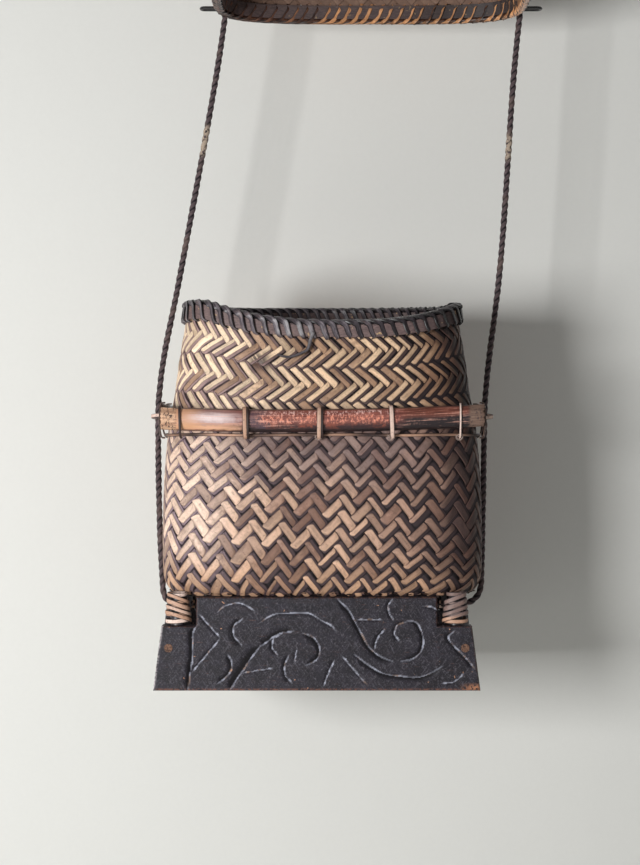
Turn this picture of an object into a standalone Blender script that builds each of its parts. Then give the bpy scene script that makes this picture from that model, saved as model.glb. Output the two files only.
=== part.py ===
# Bamboo basket bag: a twill woven basket tied to a pegged wooden base, with split bamboo
# rods round its waist, a woven lid that slides on the strap, and a corded strap to hang it by.
# Metres, +Z up, front towards -Y. The origin is the underside of the strap's top bend, where a
# peg carries the bag, and the lid stands raised on the strap. Inside the bag's own empty, places
# are measured from the middle of the base's underside.

import math

import bmesh
import bpy
from mathutils import Vector

# Shared clearances
FIT_GAP = 0.0003            # between pieces that touch
CUT_OVERRUN = 0.002         # how far a cutter runs past what it cuts
LOOP_BEND_STEPS = 8         # steps round the far end of a cane loop

# Wooden base
BASE_WIDTH = 0.2004         # across the front, at the bottom
BASE_DEPTH = 0.1150
BASE_HEIGHT = 0.0570
BASE_SIDE_DRAFT = 0.0072    # how far each side leans in over the height
BASE_FRONT_DRAFT = 0.0040   # the same, front and back
BOARD_THICK = 0.0120
NOTCH_WIDTH = 0.0190        # corner notch in the front and back boards, from the board's top corner
NOTCH_DEPTH = 0.0177        # down from the board's top edge
SIDE_NOTCH_WIDTH = 0.0100   # corner notch in the side boards
PEG_DIAMETER = 0.0052
PEG_LENGTH = 0.0300
PEG_HEIGHT = 0.0260
PEG_PROUD = 0.0004          # how far a peg's end stands out of the board
PEG_SIDES = 16
STRAP_HOLE_DIAMETER = 0.0060

# Woven basket
BODY_SHIFT = 0.0035         # the basket sits this far right of the base's middle
BODY_WIDTH = 0.2030
BODY_DEPTH = 0.1130
BODY_BOTTOM = BASE_HEIGHT + FIT_GAP
BODY_HEIGHT = 0.1807        # bottom to the top of the wall at the sides
WALL = 0.0024
FLOOR_THICK = 0.0030
FRONT_DIP = 0.0135          # how far the rim dips at the front
DIP_SPREAD = 0.0840         # half width of the dip
DIP_SHIFT = 0.0100
DIP_ZONE = 0.0500           # height of wall below the rim that follows the dip
SEGMENTS = 48
# Height up the wall, half width, half depth and squareness, as shares
BODY_SHARES = (
    (0.000, 0.925, 0.885, 4.6),
    (0.020, 0.962, 0.938, 4.6),
    (0.050, 0.988, 0.970, 4.5),
    (0.120, 0.998, 0.993, 4.4),
    (0.210, 1.000, 1.000, 4.3),
    (0.400, 0.991, 0.992, 4.1),
    (0.540, 0.972, 0.972, 3.9),
    (0.600, 0.960, 0.957, 3.8),
    (0.665, 0.936, 0.937, 3.7),
    (0.735, 0.918, 0.916, 3.6),
    (0.820, 0.899, 0.889, 3.5),
    (0.920, 0.868, 0.860, 3.4),
    (1.000, 0.842, 0.840, 3.4),
)

# Rim of the basket
HOOP_HEIGHT = 0.0088
HOOP_THICK = 0.0020
BRAID_HEIGHT = 0.0050
BRAID_OVERHANG = 0.0004     # how far the braid stands out past the hoops

# Split bamboo rods round the waist
ROD_HEIGHT = 0.0140
ROD_THICK = 0.0064
SIDE_ROD_THICK = 0.0046
ROD_LEVEL = 0.1653          # middle of the front rod above the base's bottom
ROD_TILT = 0.0010           # rise of the right end, and fall of the left one
ROD_SAG = 0.0022            # the middle hangs this far below the ends
ROD_REACH = 0.0990          # half the length of the front and back rods
ROD_STATIONS = 9
SIDE_ROD_LIFT = 0.0034      # the side rods sit this much higher
ROD_WALL_GAP = 0.0004
ROD_ARC_STEPS = 8
CANE_DIAMETER = 0.0024      # thin cane that runs round under the rods
CANE_DROP = 0.0088          # below the middle of the front rod
CANE_SIDES = 6
TIE_WIDTH = 0.0028
TIE_THICK = 0.0009
TIE_STEPS = 6
FRONT_TIE_SHARES = (-0.904, -0.493, -0.022, 0.440, 0.874)   # along half the rod
BACK_TIE_SHARES = (-0.88, -0.44, 0.0, 0.44, 0.88)
SIDE_TIE_SHARES = (-0.62, 0.30)
KEEPER_CANE = 0.0018        # loops that keep the strap to the side rods
KEEPER_REACH = 0.0066       # from the side rod to where the loop starts to bend
KEEPER_HALF_GAP = 0.0034

# Corner legs and their lashings
LEG_DIAMETER = 0.0090
LEG_SIDES = 16
LEG_INSET_X = 0.0072        # from the notched corner of the base's top to the leg's middle
LEG_INSET_Y = 0.0062
LASHING_CANE = 0.0022
LASHING_TURNS = 3           # turns going down
LASHING_RETURNS = 2         # turns crossing back up over them
LASHING_POINTS = 24         # points in each turn
LASHING_LAYER_GAP = 0.0005
LASHING_END_GAP = 0.0014

# Lid
LID_HEIGHT = 0.0780
LID_WALL = 0.0015
LID_INNER_WIDTH = 0.1956
LID_INNER_DEPTH = 0.1096
LID_HOOP_THICK = 0.0012
LID_BRAID_INSET = 0.0008     # how far the braid reaches in past the wall
LID_SEAT = 0.0019            # the closed lid's gap to the rods, which leaves room for their ties
LID_CLOSED_SHIFT = -0.0015   # the closed lid's middle, from the basket's
LID_TRAVEL = 0.2534          # rise of the lid from closed to where it rests on the strap
LID_DRIFT_SHARE = 0.1295     # how far it moves right for each metre up
LID_SQUARENESS = 3.9
LID_SEGMENTS = 48
# Height up the lid, half width and half depth, as shares
LID_SHARES = (
    (0.064, 1.000, 1.000), (0.180, 0.988, 0.990), (0.385, 0.967, 0.976), (0.577, 0.949, 0.964),
    (0.769, 0.938, 0.955), (0.897, 0.929, 0.947), (0.962, 0.885, 0.880), (0.987, 0.810, 0.780),
    (1.000, 0.580, 0.460),
)
LOOP_CANE = 0.0020
LOOP_HALF_GAP = 0.0033
LEFT_LOOP_REACH = 0.1112     # inside of each loop's far end, from the lid's middle
RIGHT_LOOP_REACH = 0.1136

# Strap
STRAP_DIAMETER = 0.0040
STRAP_STEP = 0.0240         # largest step between the points of its curve
STRAP_PLANE = 0.0430        # the strap hangs this far behind the middle of the bag
KNOT_DIAMETER = 0.0100
KNOT_END_SHARE = 0.45       # width of its ends, of its diameter
KNOT_ROUNDNESS = 0.6        # lower is fuller
KNOT_RINGS = 8
KNOT_SIDES = 14
# The strap's route from the left knot up over the hanging point and down to the right knot,
# with its heights measured from the top of the base
STRAP_ROUTE = (
    (-0.0813, 0.0200, -0.0110), (-0.0920, 0.0200, -0.0110), (-0.09625, 0.0201, -0.0099),
    (-0.0994, 0.0203, -0.0068), (-0.1007, 0.0207, -0.0025), (-0.1016, 0.0222, 0.0100),
    (-0.1034, 0.0275, 0.0380), (-0.1050, 0.0355, 0.0730), (-0.1058, 0.0415, 0.0970),
    (-0.1060, 0.0429, 0.1090), (-0.1056, 0.0430, 0.1230), (-0.1039, 0.0430, 0.1400),
    (-0.0934, 0.0430, 0.1950), (-0.0665, 0.0430, 0.3430), (-0.0508, 0.0430, 0.4430),
    (-0.0483, 0.0430, 0.4540), (-0.0428, 0.0430, 0.4645), (-0.0340, 0.0430, 0.4745),
    (0.0205, 0.0430, 0.5235), (0.0445, 0.0430, 0.5450), (0.0515, 0.0430, 0.5507),
    (0.0580, 0.0430, 0.5530), (0.0645, 0.0430, 0.5507), (0.0700, 0.0430, 0.5450),
    (0.0945, 0.0430, 0.5175), (0.1215, 0.0430, 0.4880), (0.1320, 0.0430, 0.4770),
    (0.1390, 0.0430, 0.4655), (0.1412, 0.0430, 0.4540), (0.1408, 0.0430, 0.4430),
    (0.1316, 0.0430, 0.3430), (0.1205, 0.0430, 0.1950), (0.1136, 0.0430, 0.1400),
    (0.1121, 0.0430, 0.1230), (0.1116, 0.0429, 0.1090), (0.1113, 0.0415, 0.0970),
    (0.1104, 0.0355, 0.0730), (0.1090, 0.0275, 0.0380), (0.1079, 0.0222, 0.0130),
    (0.1075, 0.0207, 0.0010), (0.1059, 0.0203, -0.0050), (0.1015, 0.0201, -0.0094),
    (0.0955, 0.0200, -0.0110), (0.0813, 0.0200, -0.0110),
)


# Materials

def make_material(name, colour, roughness):
    material = bpy.data.materials.new(name)
    material.use_nodes = True
    shader = material.node_tree.nodes["Principled BSDF"]
    shader.inputs["Base Color"].default_value = (*colour, 1.0)
    shader.inputs["Roughness"].default_value = roughness
    shader.inputs["Metallic"].default_value = 0.0
    return material


COLOURS = {
    "bamboo_weave": ((0.42, 0.27, 0.14), 0.55),
    "dark_rattan": ((0.065, 0.045, 0.040), 0.50),
    "split_bamboo": ((0.28, 0.12, 0.06), 0.35),
    "pale_rattan": ((0.48, 0.33, 0.19), 0.50),
    "dark_wood": ((0.030, 0.025, 0.027), 0.60),
    "peg_wood": ((0.25, 0.17, 0.12), 0.70),
    "strap_fibre": ((0.050, 0.036, 0.032), 0.80),
}


# Building helpers

def add_object(name, mesh, slot, parent, smooth_angle=None):
    """Links a mesh as a named piece with a material of its own."""
    piece = bpy.data.objects.new(name, mesh)
    bpy.context.scene.collection.objects.link(piece)
    colour, roughness = COLOURS[slot]
    mesh.materials.append(make_material(name + "_" + slot, colour, roughness))
    piece.parent = parent
    if smooth_angle is not None:
        mesh.shade_smooth()
        mesh.set_sharp_from_angle(angle=smooth_angle)
    return piece


def add_empty(name, place, parent=None):
    empty = bpy.data.objects.new(name, None)
    bpy.context.scene.collection.objects.link(empty)
    empty.location = place
    empty.parent = parent
    return empty


def mesh_of(name, bm):
    bmesh.ops.recalc_face_normals(bm, faces=bm.faces)
    mesh = bpy.data.meshes.new(name)
    bm.to_mesh(mesh)
    bm.free()
    return mesh


def bridge(bm, rings, closed):
    """Quads between rings of vertices; closed joins the last ring to the first."""
    count = len(rings)
    for index in range(count if closed else count - 1):
        lower, upper = rings[index], rings[(index + 1) % count]
        for side in range(len(lower)):
            after = (side + 1) % len(lower)
            bm.faces.new((lower[side], lower[after], upper[after], upper[side]))


def lofted(bm, point_rings, closed=False, capped=True):
    rings = [[bm.verts.new(point) for point in ring] for ring in point_rings]
    bridge(bm, rings, closed)
    if capped and not closed:
        bm.faces.new(rings[0])
        bm.faces.new(rings[-1])


def tube_rings(path, radius, sides):
    """Rings of points round a path, with frames carried along it without twist."""
    rings = []
    across = None
    for index, point in enumerate(path):
        before = path[max(index - 1, 0)]
        after = path[min(index + 1, len(path) - 1)]
        along = (after - before).normalized()
        if across is None:
            guide = Vector((0, 0, 1)) if abs(along.z) < math.sqrt(0.5) else Vector((1, 0, 0))
            across = along.cross(guide).normalized()
        across = (across - along * across.dot(along)).normalized()
        other = along.cross(across)
        rings.append([
            point + (across * math.cos(turn) + other * math.sin(turn)) * radius
            for turn in (2 * math.pi * side / sides for side in range(sides))
        ])
    return rings


def add_tube(bm, path, radius, sides):
    lofted(bm, tube_rings(path, radius, sides))


def add_plate(bm, path, width_axis, width, thick, normals):
    """A flat strip along a path; normals give the direction of its outer face."""
    rings = []
    for point, normal in zip(path, normals):
        half = width_axis * width / 2
        rings.append([point - half, point + half, point + half + normal * thick,
                      point - half + normal * thick])
    lofted(bm, rings)


def cylinder(bm, start, end, diameter, sides):
    add_tube(bm, [start, end], diameter / 2, sides)


def between(stations, height_share):
    """Values at a height, on a smooth curve through the rows of a share table."""
    last = len(stations) - 1
    index = max(i for i in range(last) if stations[i][0] <= height_share or i == 0)
    low, high = stations[index], stations[index + 1]
    span = high[0] - low[0]
    step = min(max((height_share - low[0]) / span, 0), 1)
    values = []
    for column in range(1, len(low)):
        rise = (high[column] - low[column]) / span
        below, above = rise, rise
        if index > 0:
            earlier = stations[index - 1]
            below = (rise + (low[column] - earlier[column]) / (low[0] - earlier[0])) / 2
        if index + 1 < last:
            later = stations[index + 2]
            above = (rise + (later[column] - high[column]) / (later[0] - high[0])) / 2
        values.append(
            (2 * step**3 - 3 * step**2 + 1) * low[column]
            + (step**3 - 2 * step**2 + step) * span * below
            + (3 * step**2 - 2 * step**3) * high[column]
            + (step**3 - step**2) * span * above
        )
    return values


def rounded(half_x, half_y, squareness, turn):
    """A point of a rounded rectangle, from circle to square as squareness grows."""
    cos, sin = math.cos(turn), math.sin(turn)
    x = half_x * math.copysign(abs(cos) ** (2 / squareness), cos)
    y = half_y * math.copysign(abs(sin) ** (2 / squareness), sin)
    return x, y


def ease(share):
    share = min(max(share, 0), 1)
    return share * share * (3 - 2 * share)


def turns(segments):
    return [2 * math.pi * (index + 0.5) / segments for index in range(segments)]


def body_point(turn, height, offset):
    """A point on the basket's outer wall, moved out by offset, height above its bottom."""
    wide, deep, square = between(BODY_SHARES, height / BODY_HEIGHT)
    half_x = wide * BODY_WIDTH / 2 + offset
    half_y = deep * BODY_DEPTH / 2 + offset
    x, y = rounded(half_x, half_y, square, turn)
    across = min(abs(x - DIP_SHIFT) / DIP_SPREAD, 1)
    towards_front = ease(-y / half_y)
    dip = FRONT_DIP * (1 - across**2.6) * towards_front
    dip *= ease((height - BODY_HEIGHT + DIP_ZONE) / DIP_ZONE)
    return Vector((BODY_SHIFT + x, y, BODY_BOTTOM + height - dip))


def body_reach(height, offset):
    """Half width and half depth of the basket's outside at a height above the base's bottom."""
    wide, deep, _ = between(BODY_SHARES, (height - BODY_BOTTOM) / BODY_HEIGHT)
    return wide * BODY_WIDTH / 2 + offset, deep * BODY_DEPTH / 2 + offset


def ring_piece(name, slot, parent, sections, point_at, segments):
    """A closed ring whose cross section is a list of (height, offset) corners."""
    bm = bmesh.new()
    rings = [[point_at(turn, height, offset) for turn in turns(segments)]
             for height, offset in sections]
    lofted(bm, rings, closed=True)
    return add_object(name, mesh_of(name, bm), slot, parent, math.radians(50))


def strip_section(low, high, inner, outer):
    return ((low, inner), (low, outer), (high, outer), (high, inner))


def braid_section(low, high, inner, outer):
    """A six sided section, widest at half height."""
    middle, shoulder = (low + high) / 2, (outer - inner) / 5
    return ((low, inner + shoulder), (low, outer - shoulder), (middle, outer),
            (high, outer - shoulder), (high, inner + shoulder), (middle, inner))


# Basket

def make_basket(bag):
    shell = bmesh.new()
    heights = [share[0] * BODY_HEIGHT for share in BODY_SHARES]
    floor = [height for height in heights if height > FLOOR_THICK]
    outside = [[body_point(turn, height, 0) for turn in turns(SEGMENTS)] for height in heights]
    inside = [[body_point(turn, height, -WALL) for turn in turns(SEGMENTS)]
              for height in reversed([FLOOR_THICK] + floor)]
    lofted(shell, outside + inside)
    add_object("woven_body", mesh_of("woven_body", shell), "bamboo_weave", bag, math.radians(50))

    top = BODY_HEIGHT - FIT_GAP
    outer_face = FIT_GAP + HOOP_THICK
    inner_face = -WALL - FIT_GAP - HOOP_THICK
    ring_piece("rim_outer_hoop", "dark_rattan", bag,
               strip_section(top - HOOP_HEIGHT, top, FIT_GAP, outer_face), body_point, SEGMENTS)
    ring_piece("rim_inner_hoop", "dark_rattan", bag,
               strip_section(top - HOOP_HEIGHT, top, inner_face, -WALL - FIT_GAP),
               body_point, SEGMENTS)
    braid_low = BODY_HEIGHT + FIT_GAP
    ring_piece("rim_braid", "dark_rattan", bag,
               braid_section(braid_low, braid_low + BRAID_HEIGHT,
                             inner_face - BRAID_OVERHANG, outer_face + BRAID_OVERHANG),
               body_point, SEGMENTS)


# Waist rods, the cane under them and their ties

def rod_level(x):
    """Height of the front rod's middle at a place across the bag."""
    share = (x - BODY_SHIFT) / ROD_REACH
    return ROD_LEVEL + ROD_TILT * share + ROD_SAG * share * share


def rod_profile(thick):
    """Half round section of a split bamboo, flat side at zero, bulging to +thick."""
    points = []
    for step in range(ROD_ARC_STEPS + 1):
        turn = math.pi * step / ROD_ARC_STEPS - math.pi / 2
        points.append((thick * math.cos(turn) ** 0.7 if 0 < step < ROD_ARC_STEPS else 0,
                       ROD_HEIGHT / 2 * math.sin(turn)))
    return points


def make_long_rod(name, facing, bag):
    """The front rod for facing -1, the back rod for facing +1."""
    flat = body_reach(ROD_LEVEL - ROD_HEIGHT / 2, ROD_WALL_GAP)[1]
    bm = bmesh.new()
    rings = []
    for station in range(ROD_STATIONS):
        x = BODY_SHIFT + ROD_REACH * (2 * station / (ROD_STATIONS - 1) - 1)
        rings.append([Vector((x, facing * (flat + out), rod_level(x) + up))
                      for out, up in rod_profile(ROD_THICK)])
    lofted(bm, rings)
    add_object(name, mesh_of(name, bm), "split_bamboo", bag, math.radians(40))
    return flat


def make_side_rod(name, facing, long_rod_flat, bag):
    """The left rod for facing -1, the right rod for facing +1."""
    flat = body_reach(ROD_LEVEL - ROD_HEIGHT / 2, ROD_WALL_GAP)[0]
    reach = long_rod_flat - FIT_GAP
    level = ROD_LEVEL + SIDE_ROD_LIFT
    bm = bmesh.new()
    rings = [[Vector((BODY_SHIFT + facing * (flat + out), y, level + up))
              for out, up in rod_profile(SIDE_ROD_THICK)]
             for y in (-reach, 0, reach)]
    lofted(bm, rings)
    add_object(name, mesh_of(name, bm), "split_bamboo", bag, math.radians(40))
    return flat, level, reach


def make_cane(bag):
    """Thin cane right round the basket, just under the rods."""
    level = ROD_LEVEL - CANE_DROP - BODY_BOTTOM
    radius = CANE_DIAMETER / 2
    sections = []
    for side in range(CANE_SIDES):
        turn = 2 * math.pi * side / CANE_SIDES
        sections.append((level + radius * math.sin(turn),
                         FIT_GAP + radius + radius * math.cos(turn)))
    ring_piece("waist_cane", "pale_rattan", bag, sections, body_point, SEGMENTS)


def tie_path(flat, thick, level, bulge_gap):
    """Out from the wall above the rod, down over its face, and back under the cane."""
    top = level + ROD_HEIGHT / 2 + bulge_gap
    bottom = ROD_LEVEL - CANE_DROP - CANE_DIAMETER / 2 - bulge_gap
    half = (top - bottom) / 2
    middle = (top + bottom) / 2
    path, normals = [], []
    for step in range(2 * TIE_STEPS + 1):
        turn = math.pi / 2 - math.pi * step / (2 * TIE_STEPS)
        out = flat + (thick + bulge_gap) * math.cos(turn) ** 0.5 if 0 < step < 2 * TIE_STEPS else flat
        path.append((out, middle + half * math.sin(turn)))
        normals.append((math.cos(turn), math.sin(turn)))
    return path, normals


def make_ties(stem, places, along, to_world, flat, thick, level_at, bag):
    for number, place in enumerate(places, 1):
        bm = bmesh.new()
        path, normals = tie_path(flat, thick, level_at(place), 2 * FIT_GAP)
        add_plate(bm, [to_world(place, out, up) for out, up in path], along, TIE_WIDTH, TIE_THICK,
                  [to_world(0, out, up) - to_world(0, 0, 0) for out, up in normals])
        name = stem + "_" + str(number)
        add_object(name, mesh_of(name, bm), "pale_rattan", bag)


def staple(bm, feet, outward, bend, cane):
    """A loop of cane straight out from one foot, round a half circle at bend, to the other."""
    along = feet[1] - feet[0]
    along -= outward * along.dot(outward)
    half_gap = along.length / 2
    along.normalize()
    path = [feet[0]]
    for step in range(LOOP_BEND_STEPS + 1):
        turn = math.pi * step / LOOP_BEND_STEPS
        path.append(bend - along * half_gap * math.cos(turn) + outward * half_gap * math.sin(turn))
    path.append(feet[1])
    add_tube(bm, path, cane / 2, CANE_SIDES)


def make_waist(bag):
    front_flat = make_long_rod("front_rod", -1, bag)
    make_long_rod("back_rod", 1, bag)
    make_cane(bag)
    across, back = Vector((1, 0, 0)), Vector((0, 1, 0))
    reach = ROD_REACH - TIE_WIDTH
    for name, facing, shares in (("front_tie", -1, FRONT_TIE_SHARES),
                                 ("back_tie", 1, BACK_TIE_SHARES)):
        make_ties(name, [BODY_SHIFT + share * reach for share in shares], across,
                  lambda x, out, up, facing=facing: Vector((x, facing * out, up)),
                  front_flat, ROD_THICK, rod_level, bag)
    for side, facing in (("left", -1), ("right", 1)):
        flat, level, length = make_side_rod(side + "_rod", facing, front_flat, bag)
        make_ties(side + "_tie", [share * length for share in SIDE_TIE_SHARES], back,
                  lambda y, out, up, facing=facing:
                      Vector((BODY_SHIFT + facing * out, y, up)),
                  flat, SIDE_ROD_THICK, lambda y, level=level: level, bag)
        keeper = bmesh.new()
        face = BODY_SHIFT + facing * (flat + SIDE_ROD_THICK + FIT_GAP)
        feet = [Vector((face, STRAP_PLANE + step * KEEPER_HALF_GAP, level)) for step in (-1, 1)]
        bend = Vector((face + facing * KEEPER_REACH, STRAP_PLANE, level))
        staple(keeper, feet, Vector((facing, 0, 0)), bend, KEEPER_CANE)
        name = side + "_strap_keeper"
        add_object(name, mesh_of(name, keeper), "pale_rattan", bag, math.radians(60))


# Base boards, pegs, legs and lashings

def base_half_width(height):
    return BASE_WIDTH / 2 - BASE_SIDE_DRAFT * height / BASE_HEIGHT


def base_half_depth(height):
    return BASE_DEPTH / 2 - BASE_FRONT_DRAFT * height / BASE_HEIGHT


def make_long_board(name, facing, bag):
    """Front board for facing -1: a drafted plank with both upper corners notched."""
    notch_level = BASE_HEIGHT - NOTCH_DEPTH
    notch_edge = base_half_width(BASE_HEIGHT) - NOTCH_WIDTH
    outline = [(-base_half_width(0), 0), (base_half_width(0), 0),
               (base_half_width(notch_level), notch_level), (notch_edge, notch_level),
               (notch_edge, BASE_HEIGHT), (-notch_edge, BASE_HEIGHT),
               (-notch_edge, notch_level), (-base_half_width(notch_level), notch_level)]
    bm = bmesh.new()
    outer = [Vector((x, facing * base_half_depth(z), z)) for x, z in outline]
    inner = [Vector((x, facing * (base_half_depth(z) - BOARD_THICK), z)) for x, z in outline]
    lofted(bm, [outer, inner])
    board = add_object(name, mesh_of(name, bm), "dark_wood", bag)
    for side in (-1, 1):
        x, y, z = peg_place(side, facing)
        start = Vector((x, y + facing * CUT_OVERRUN, z))
        end = Vector((x, y - facing * (BOARD_THICK + CUT_OVERRUN), z))
        cut(board, start, end, PEG_DIAMETER + 2 * FIT_GAP, PEG_SIDES, bag)


def peg_place(side, facing):
    """Where a peg's axis meets the face of the front or back board."""
    x = base_half_width(PEG_HEIGHT) - BOARD_THICK / 2
    return side * x, facing * base_half_depth(PEG_HEIGHT), PEG_HEIGHT


def make_side_board(name, facing, bag):
    """Side board for facing -1 left: fits between the front and back boards."""
    notch_level = BASE_HEIGHT - NOTCH_DEPTH

    def reach(height):
        return base_half_depth(height) - BOARD_THICK - FIT_GAP

    notch_edge = reach(BASE_HEIGHT) - SIDE_NOTCH_WIDTH
    outline = [(-reach(0), 0), (reach(0), 0), (reach(notch_level), notch_level),
               (notch_edge, notch_level), (notch_edge, BASE_HEIGHT),
               (-notch_edge, BASE_HEIGHT), (-notch_edge, notch_level),
               (-reach(notch_level), notch_level)]
    bm = bmesh.new()
    outer = [Vector((facing * base_half_width(z), y, z)) for y, z in outline]
    inner = [Vector((facing * (base_half_width(z) - BOARD_THICK), y, z)) for y, z in outline]
    lofted(bm, [outer, inner])
    board = add_object(name, mesh_of(name, bm), "dark_wood", bag)
    for end_facing in (-1, 1):
        x, y, z = peg_place(facing, end_facing)
        start = Vector((x, y + end_facing * CUT_OVERRUN, z))
        end = Vector((x, y - end_facing * (PEG_LENGTH + FIT_GAP), z))
        cut(board, start, end, PEG_DIAMETER + 2 * FIT_GAP, PEG_SIDES, bag)
    _, y, z = strap_route()[0]
    half = base_half_width(z)
    cut(board, Vector((facing * (half + CUT_OVERRUN), y, z)),
        Vector((facing * (half - BOARD_THICK - CUT_OVERRUN), y, z)),
        STRAP_HOLE_DIAMETER, PEG_SIDES, bag)


def cut(board, start, end, diameter, sides, parent):
    bm = bmesh.new()
    cylinder(bm, start, end, diameter, sides)
    cutter = bpy.data.objects.new(board.name + "_cutter", mesh_of(board.name + "_cutter", bm))
    bpy.context.scene.collection.objects.link(cutter)
    cutter.parent = parent
    cutter.hide_render = True
    cutter.display_type = "WIRE"
    modifier = board.modifiers.new("Hole", "BOOLEAN")
    modifier.operation = "DIFFERENCE"
    modifier.object = cutter


def make_peg(name, side, facing, bag):
    x, y, z = peg_place(side, facing)
    bm = bmesh.new()
    cylinder(bm, Vector((x, y + facing * PEG_PROUD, z)),
             Vector((x, y - facing * (PEG_LENGTH - CUT_OVERRUN), z)), PEG_DIAMETER, PEG_SIDES)
    add_object(name, mesh_of(name, bm), "peg_wood", bag, math.radians(40))


def lashing_path(low, high):
    """One cane down round the leg, then back up outside it, as a single line."""
    inner = LEG_DIAMETER / 2 + FIT_GAP + LASHING_CANE / 2
    outer = inner + LASHING_CANE + LASHING_LAYER_GAP
    path = []
    down = LASHING_TURNS * LASHING_POINTS
    back = LASHING_RETURNS * LASHING_POINTS
    swing = LASHING_POINTS // 2
    for step in range(down + back + 1):
        turn = 2 * math.pi * step / LASHING_POINTS
        if step <= down:
            height = high - (high - low) * step / down
            widen = ease((step - down + swing) / swing)
        else:
            height = low + (high - low) * (step - down) / back
            widen = 1
        radius = inner + (outer - inner) * widen
        path.append(Vector((radius * math.cos(turn), radius * math.sin(turn), height)))
    return path


def least_gap(path, thickness):
    """Least gap of a wound tube to itself, from points more than half a turn apart."""
    apart = LASHING_POINTS // 2
    nearest = min((path[i] - path[j]).length
                  for i in range(len(path)) for j in range(i + apart, len(path)))
    return nearest - thickness


def add_curve_tube(name, points, radius, resolution, slot, parent):
    curve = bpy.data.curves.new(name, "CURVE")
    curve.dimensions = "3D"
    curve.bevel_depth = radius
    curve.bevel_resolution = resolution
    curve.use_fill_caps = True
    curve.resolution_u = 1
    spline = curve.splines.new("POLY")
    spline.points.add(len(points) - 1)
    for target, point in zip(spline.points, points):
        target.co = (*point, 1)
    piece = bpy.data.objects.new(name, curve)
    bpy.context.scene.collection.objects.link(piece)
    colour, roughness = COLOURS[slot]
    curve.materials.append(make_material(name + "_" + slot, colour, roughness))
    piece.parent = parent
    return piece


def make_base(bag):
    for name, facing in (("base_front_board", -1), ("base_back_board", 1)):
        make_long_board(name, facing, bag)
    for name, facing in (("base_left_board", -1), ("base_right_board", 1)):
        make_side_board(name, facing, bag)
    notch_level = BASE_HEIGHT - NOTCH_DEPTH
    leg_x = base_half_width(BASE_HEIGHT) - LEG_INSET_X
    leg_y = base_half_depth(BASE_HEIGHT) - LEG_INSET_Y
    low = notch_level + FIT_GAP
    high = BASE_HEIGHT
    path = lashing_path(low + LASHING_CANE / 2 + LASHING_END_GAP / 2,
                        high - LASHING_CANE / 2 - LASHING_END_GAP / 2)
    print("least gap in a lashing, mm:", round(1000 * least_gap(path, LASHING_CANE), 3))
    for end, facing in (("front", -1), ("back", 1)):
        for side, sign in (("left", -1), ("right", 1)):
            corner = end + "_" + side
            make_peg(corner + "_peg", sign, facing, bag)
            foot = Vector((sign * leg_x, facing * leg_y, 0))
            bm = bmesh.new()
            cylinder(bm, foot + Vector((0, 0, low)), foot + Vector((0, 0, high)),
                     LEG_DIAMETER, LEG_SIDES)
            add_object(corner + "_leg", mesh_of(corner + "_leg", bm), "split_bamboo", bag,
                       math.radians(40))
            wound = [foot + Vector((sign * point.x, facing * point.y, point.z)) for point in path]
            add_curve_tube(corner + "_lashing", wound, LASHING_CANE / 2, 1, "pale_rattan", bag)


# Lid

def lid_point(turn, height, offset):
    """A point on the lid's inner wall, moved out by offset, height above its lower edge."""
    wide, deep = between(LID_SHARES, max(height / LID_HEIGHT, LID_SHARES[0][0]))
    x, y = rounded(wide * LID_INNER_WIDTH / 2 + offset, deep * LID_INNER_DEPTH / 2 + offset,
                   LID_SQUARENESS, turn)
    return Vector((x, y, height))


def make_loop(name, facing, reach, level, hoop_face, lid):
    """A loop on the lid's rim hoop that keeps the lid on the strap."""
    half_x, half_y = LID_INNER_WIDTH / 2 + hoop_face, LID_INNER_DEPTH / 2 + hoop_face
    feet = []
    for step in (-1, 1):
        y = STRAP_PLANE + step * LOOP_HALF_GAP
        nearest = (y - LOOP_CANE / 2) / half_y
        x = half_x * (1 - nearest ** LID_SQUARENESS) ** (1 / LID_SQUARENESS) + FIT_GAP
        feet.append(Vector((facing * x, y, level)))
    bend = Vector((facing * (reach + LOOP_CANE / 2 - LOOP_HALF_GAP), STRAP_PLANE, level))
    bm = bmesh.new()
    staple(bm, feet, Vector((facing, 0, 0)), bend, LOOP_CANE)
    add_object(name, mesh_of(name, bm), "dark_rattan", lid, math.radians(60))


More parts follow.
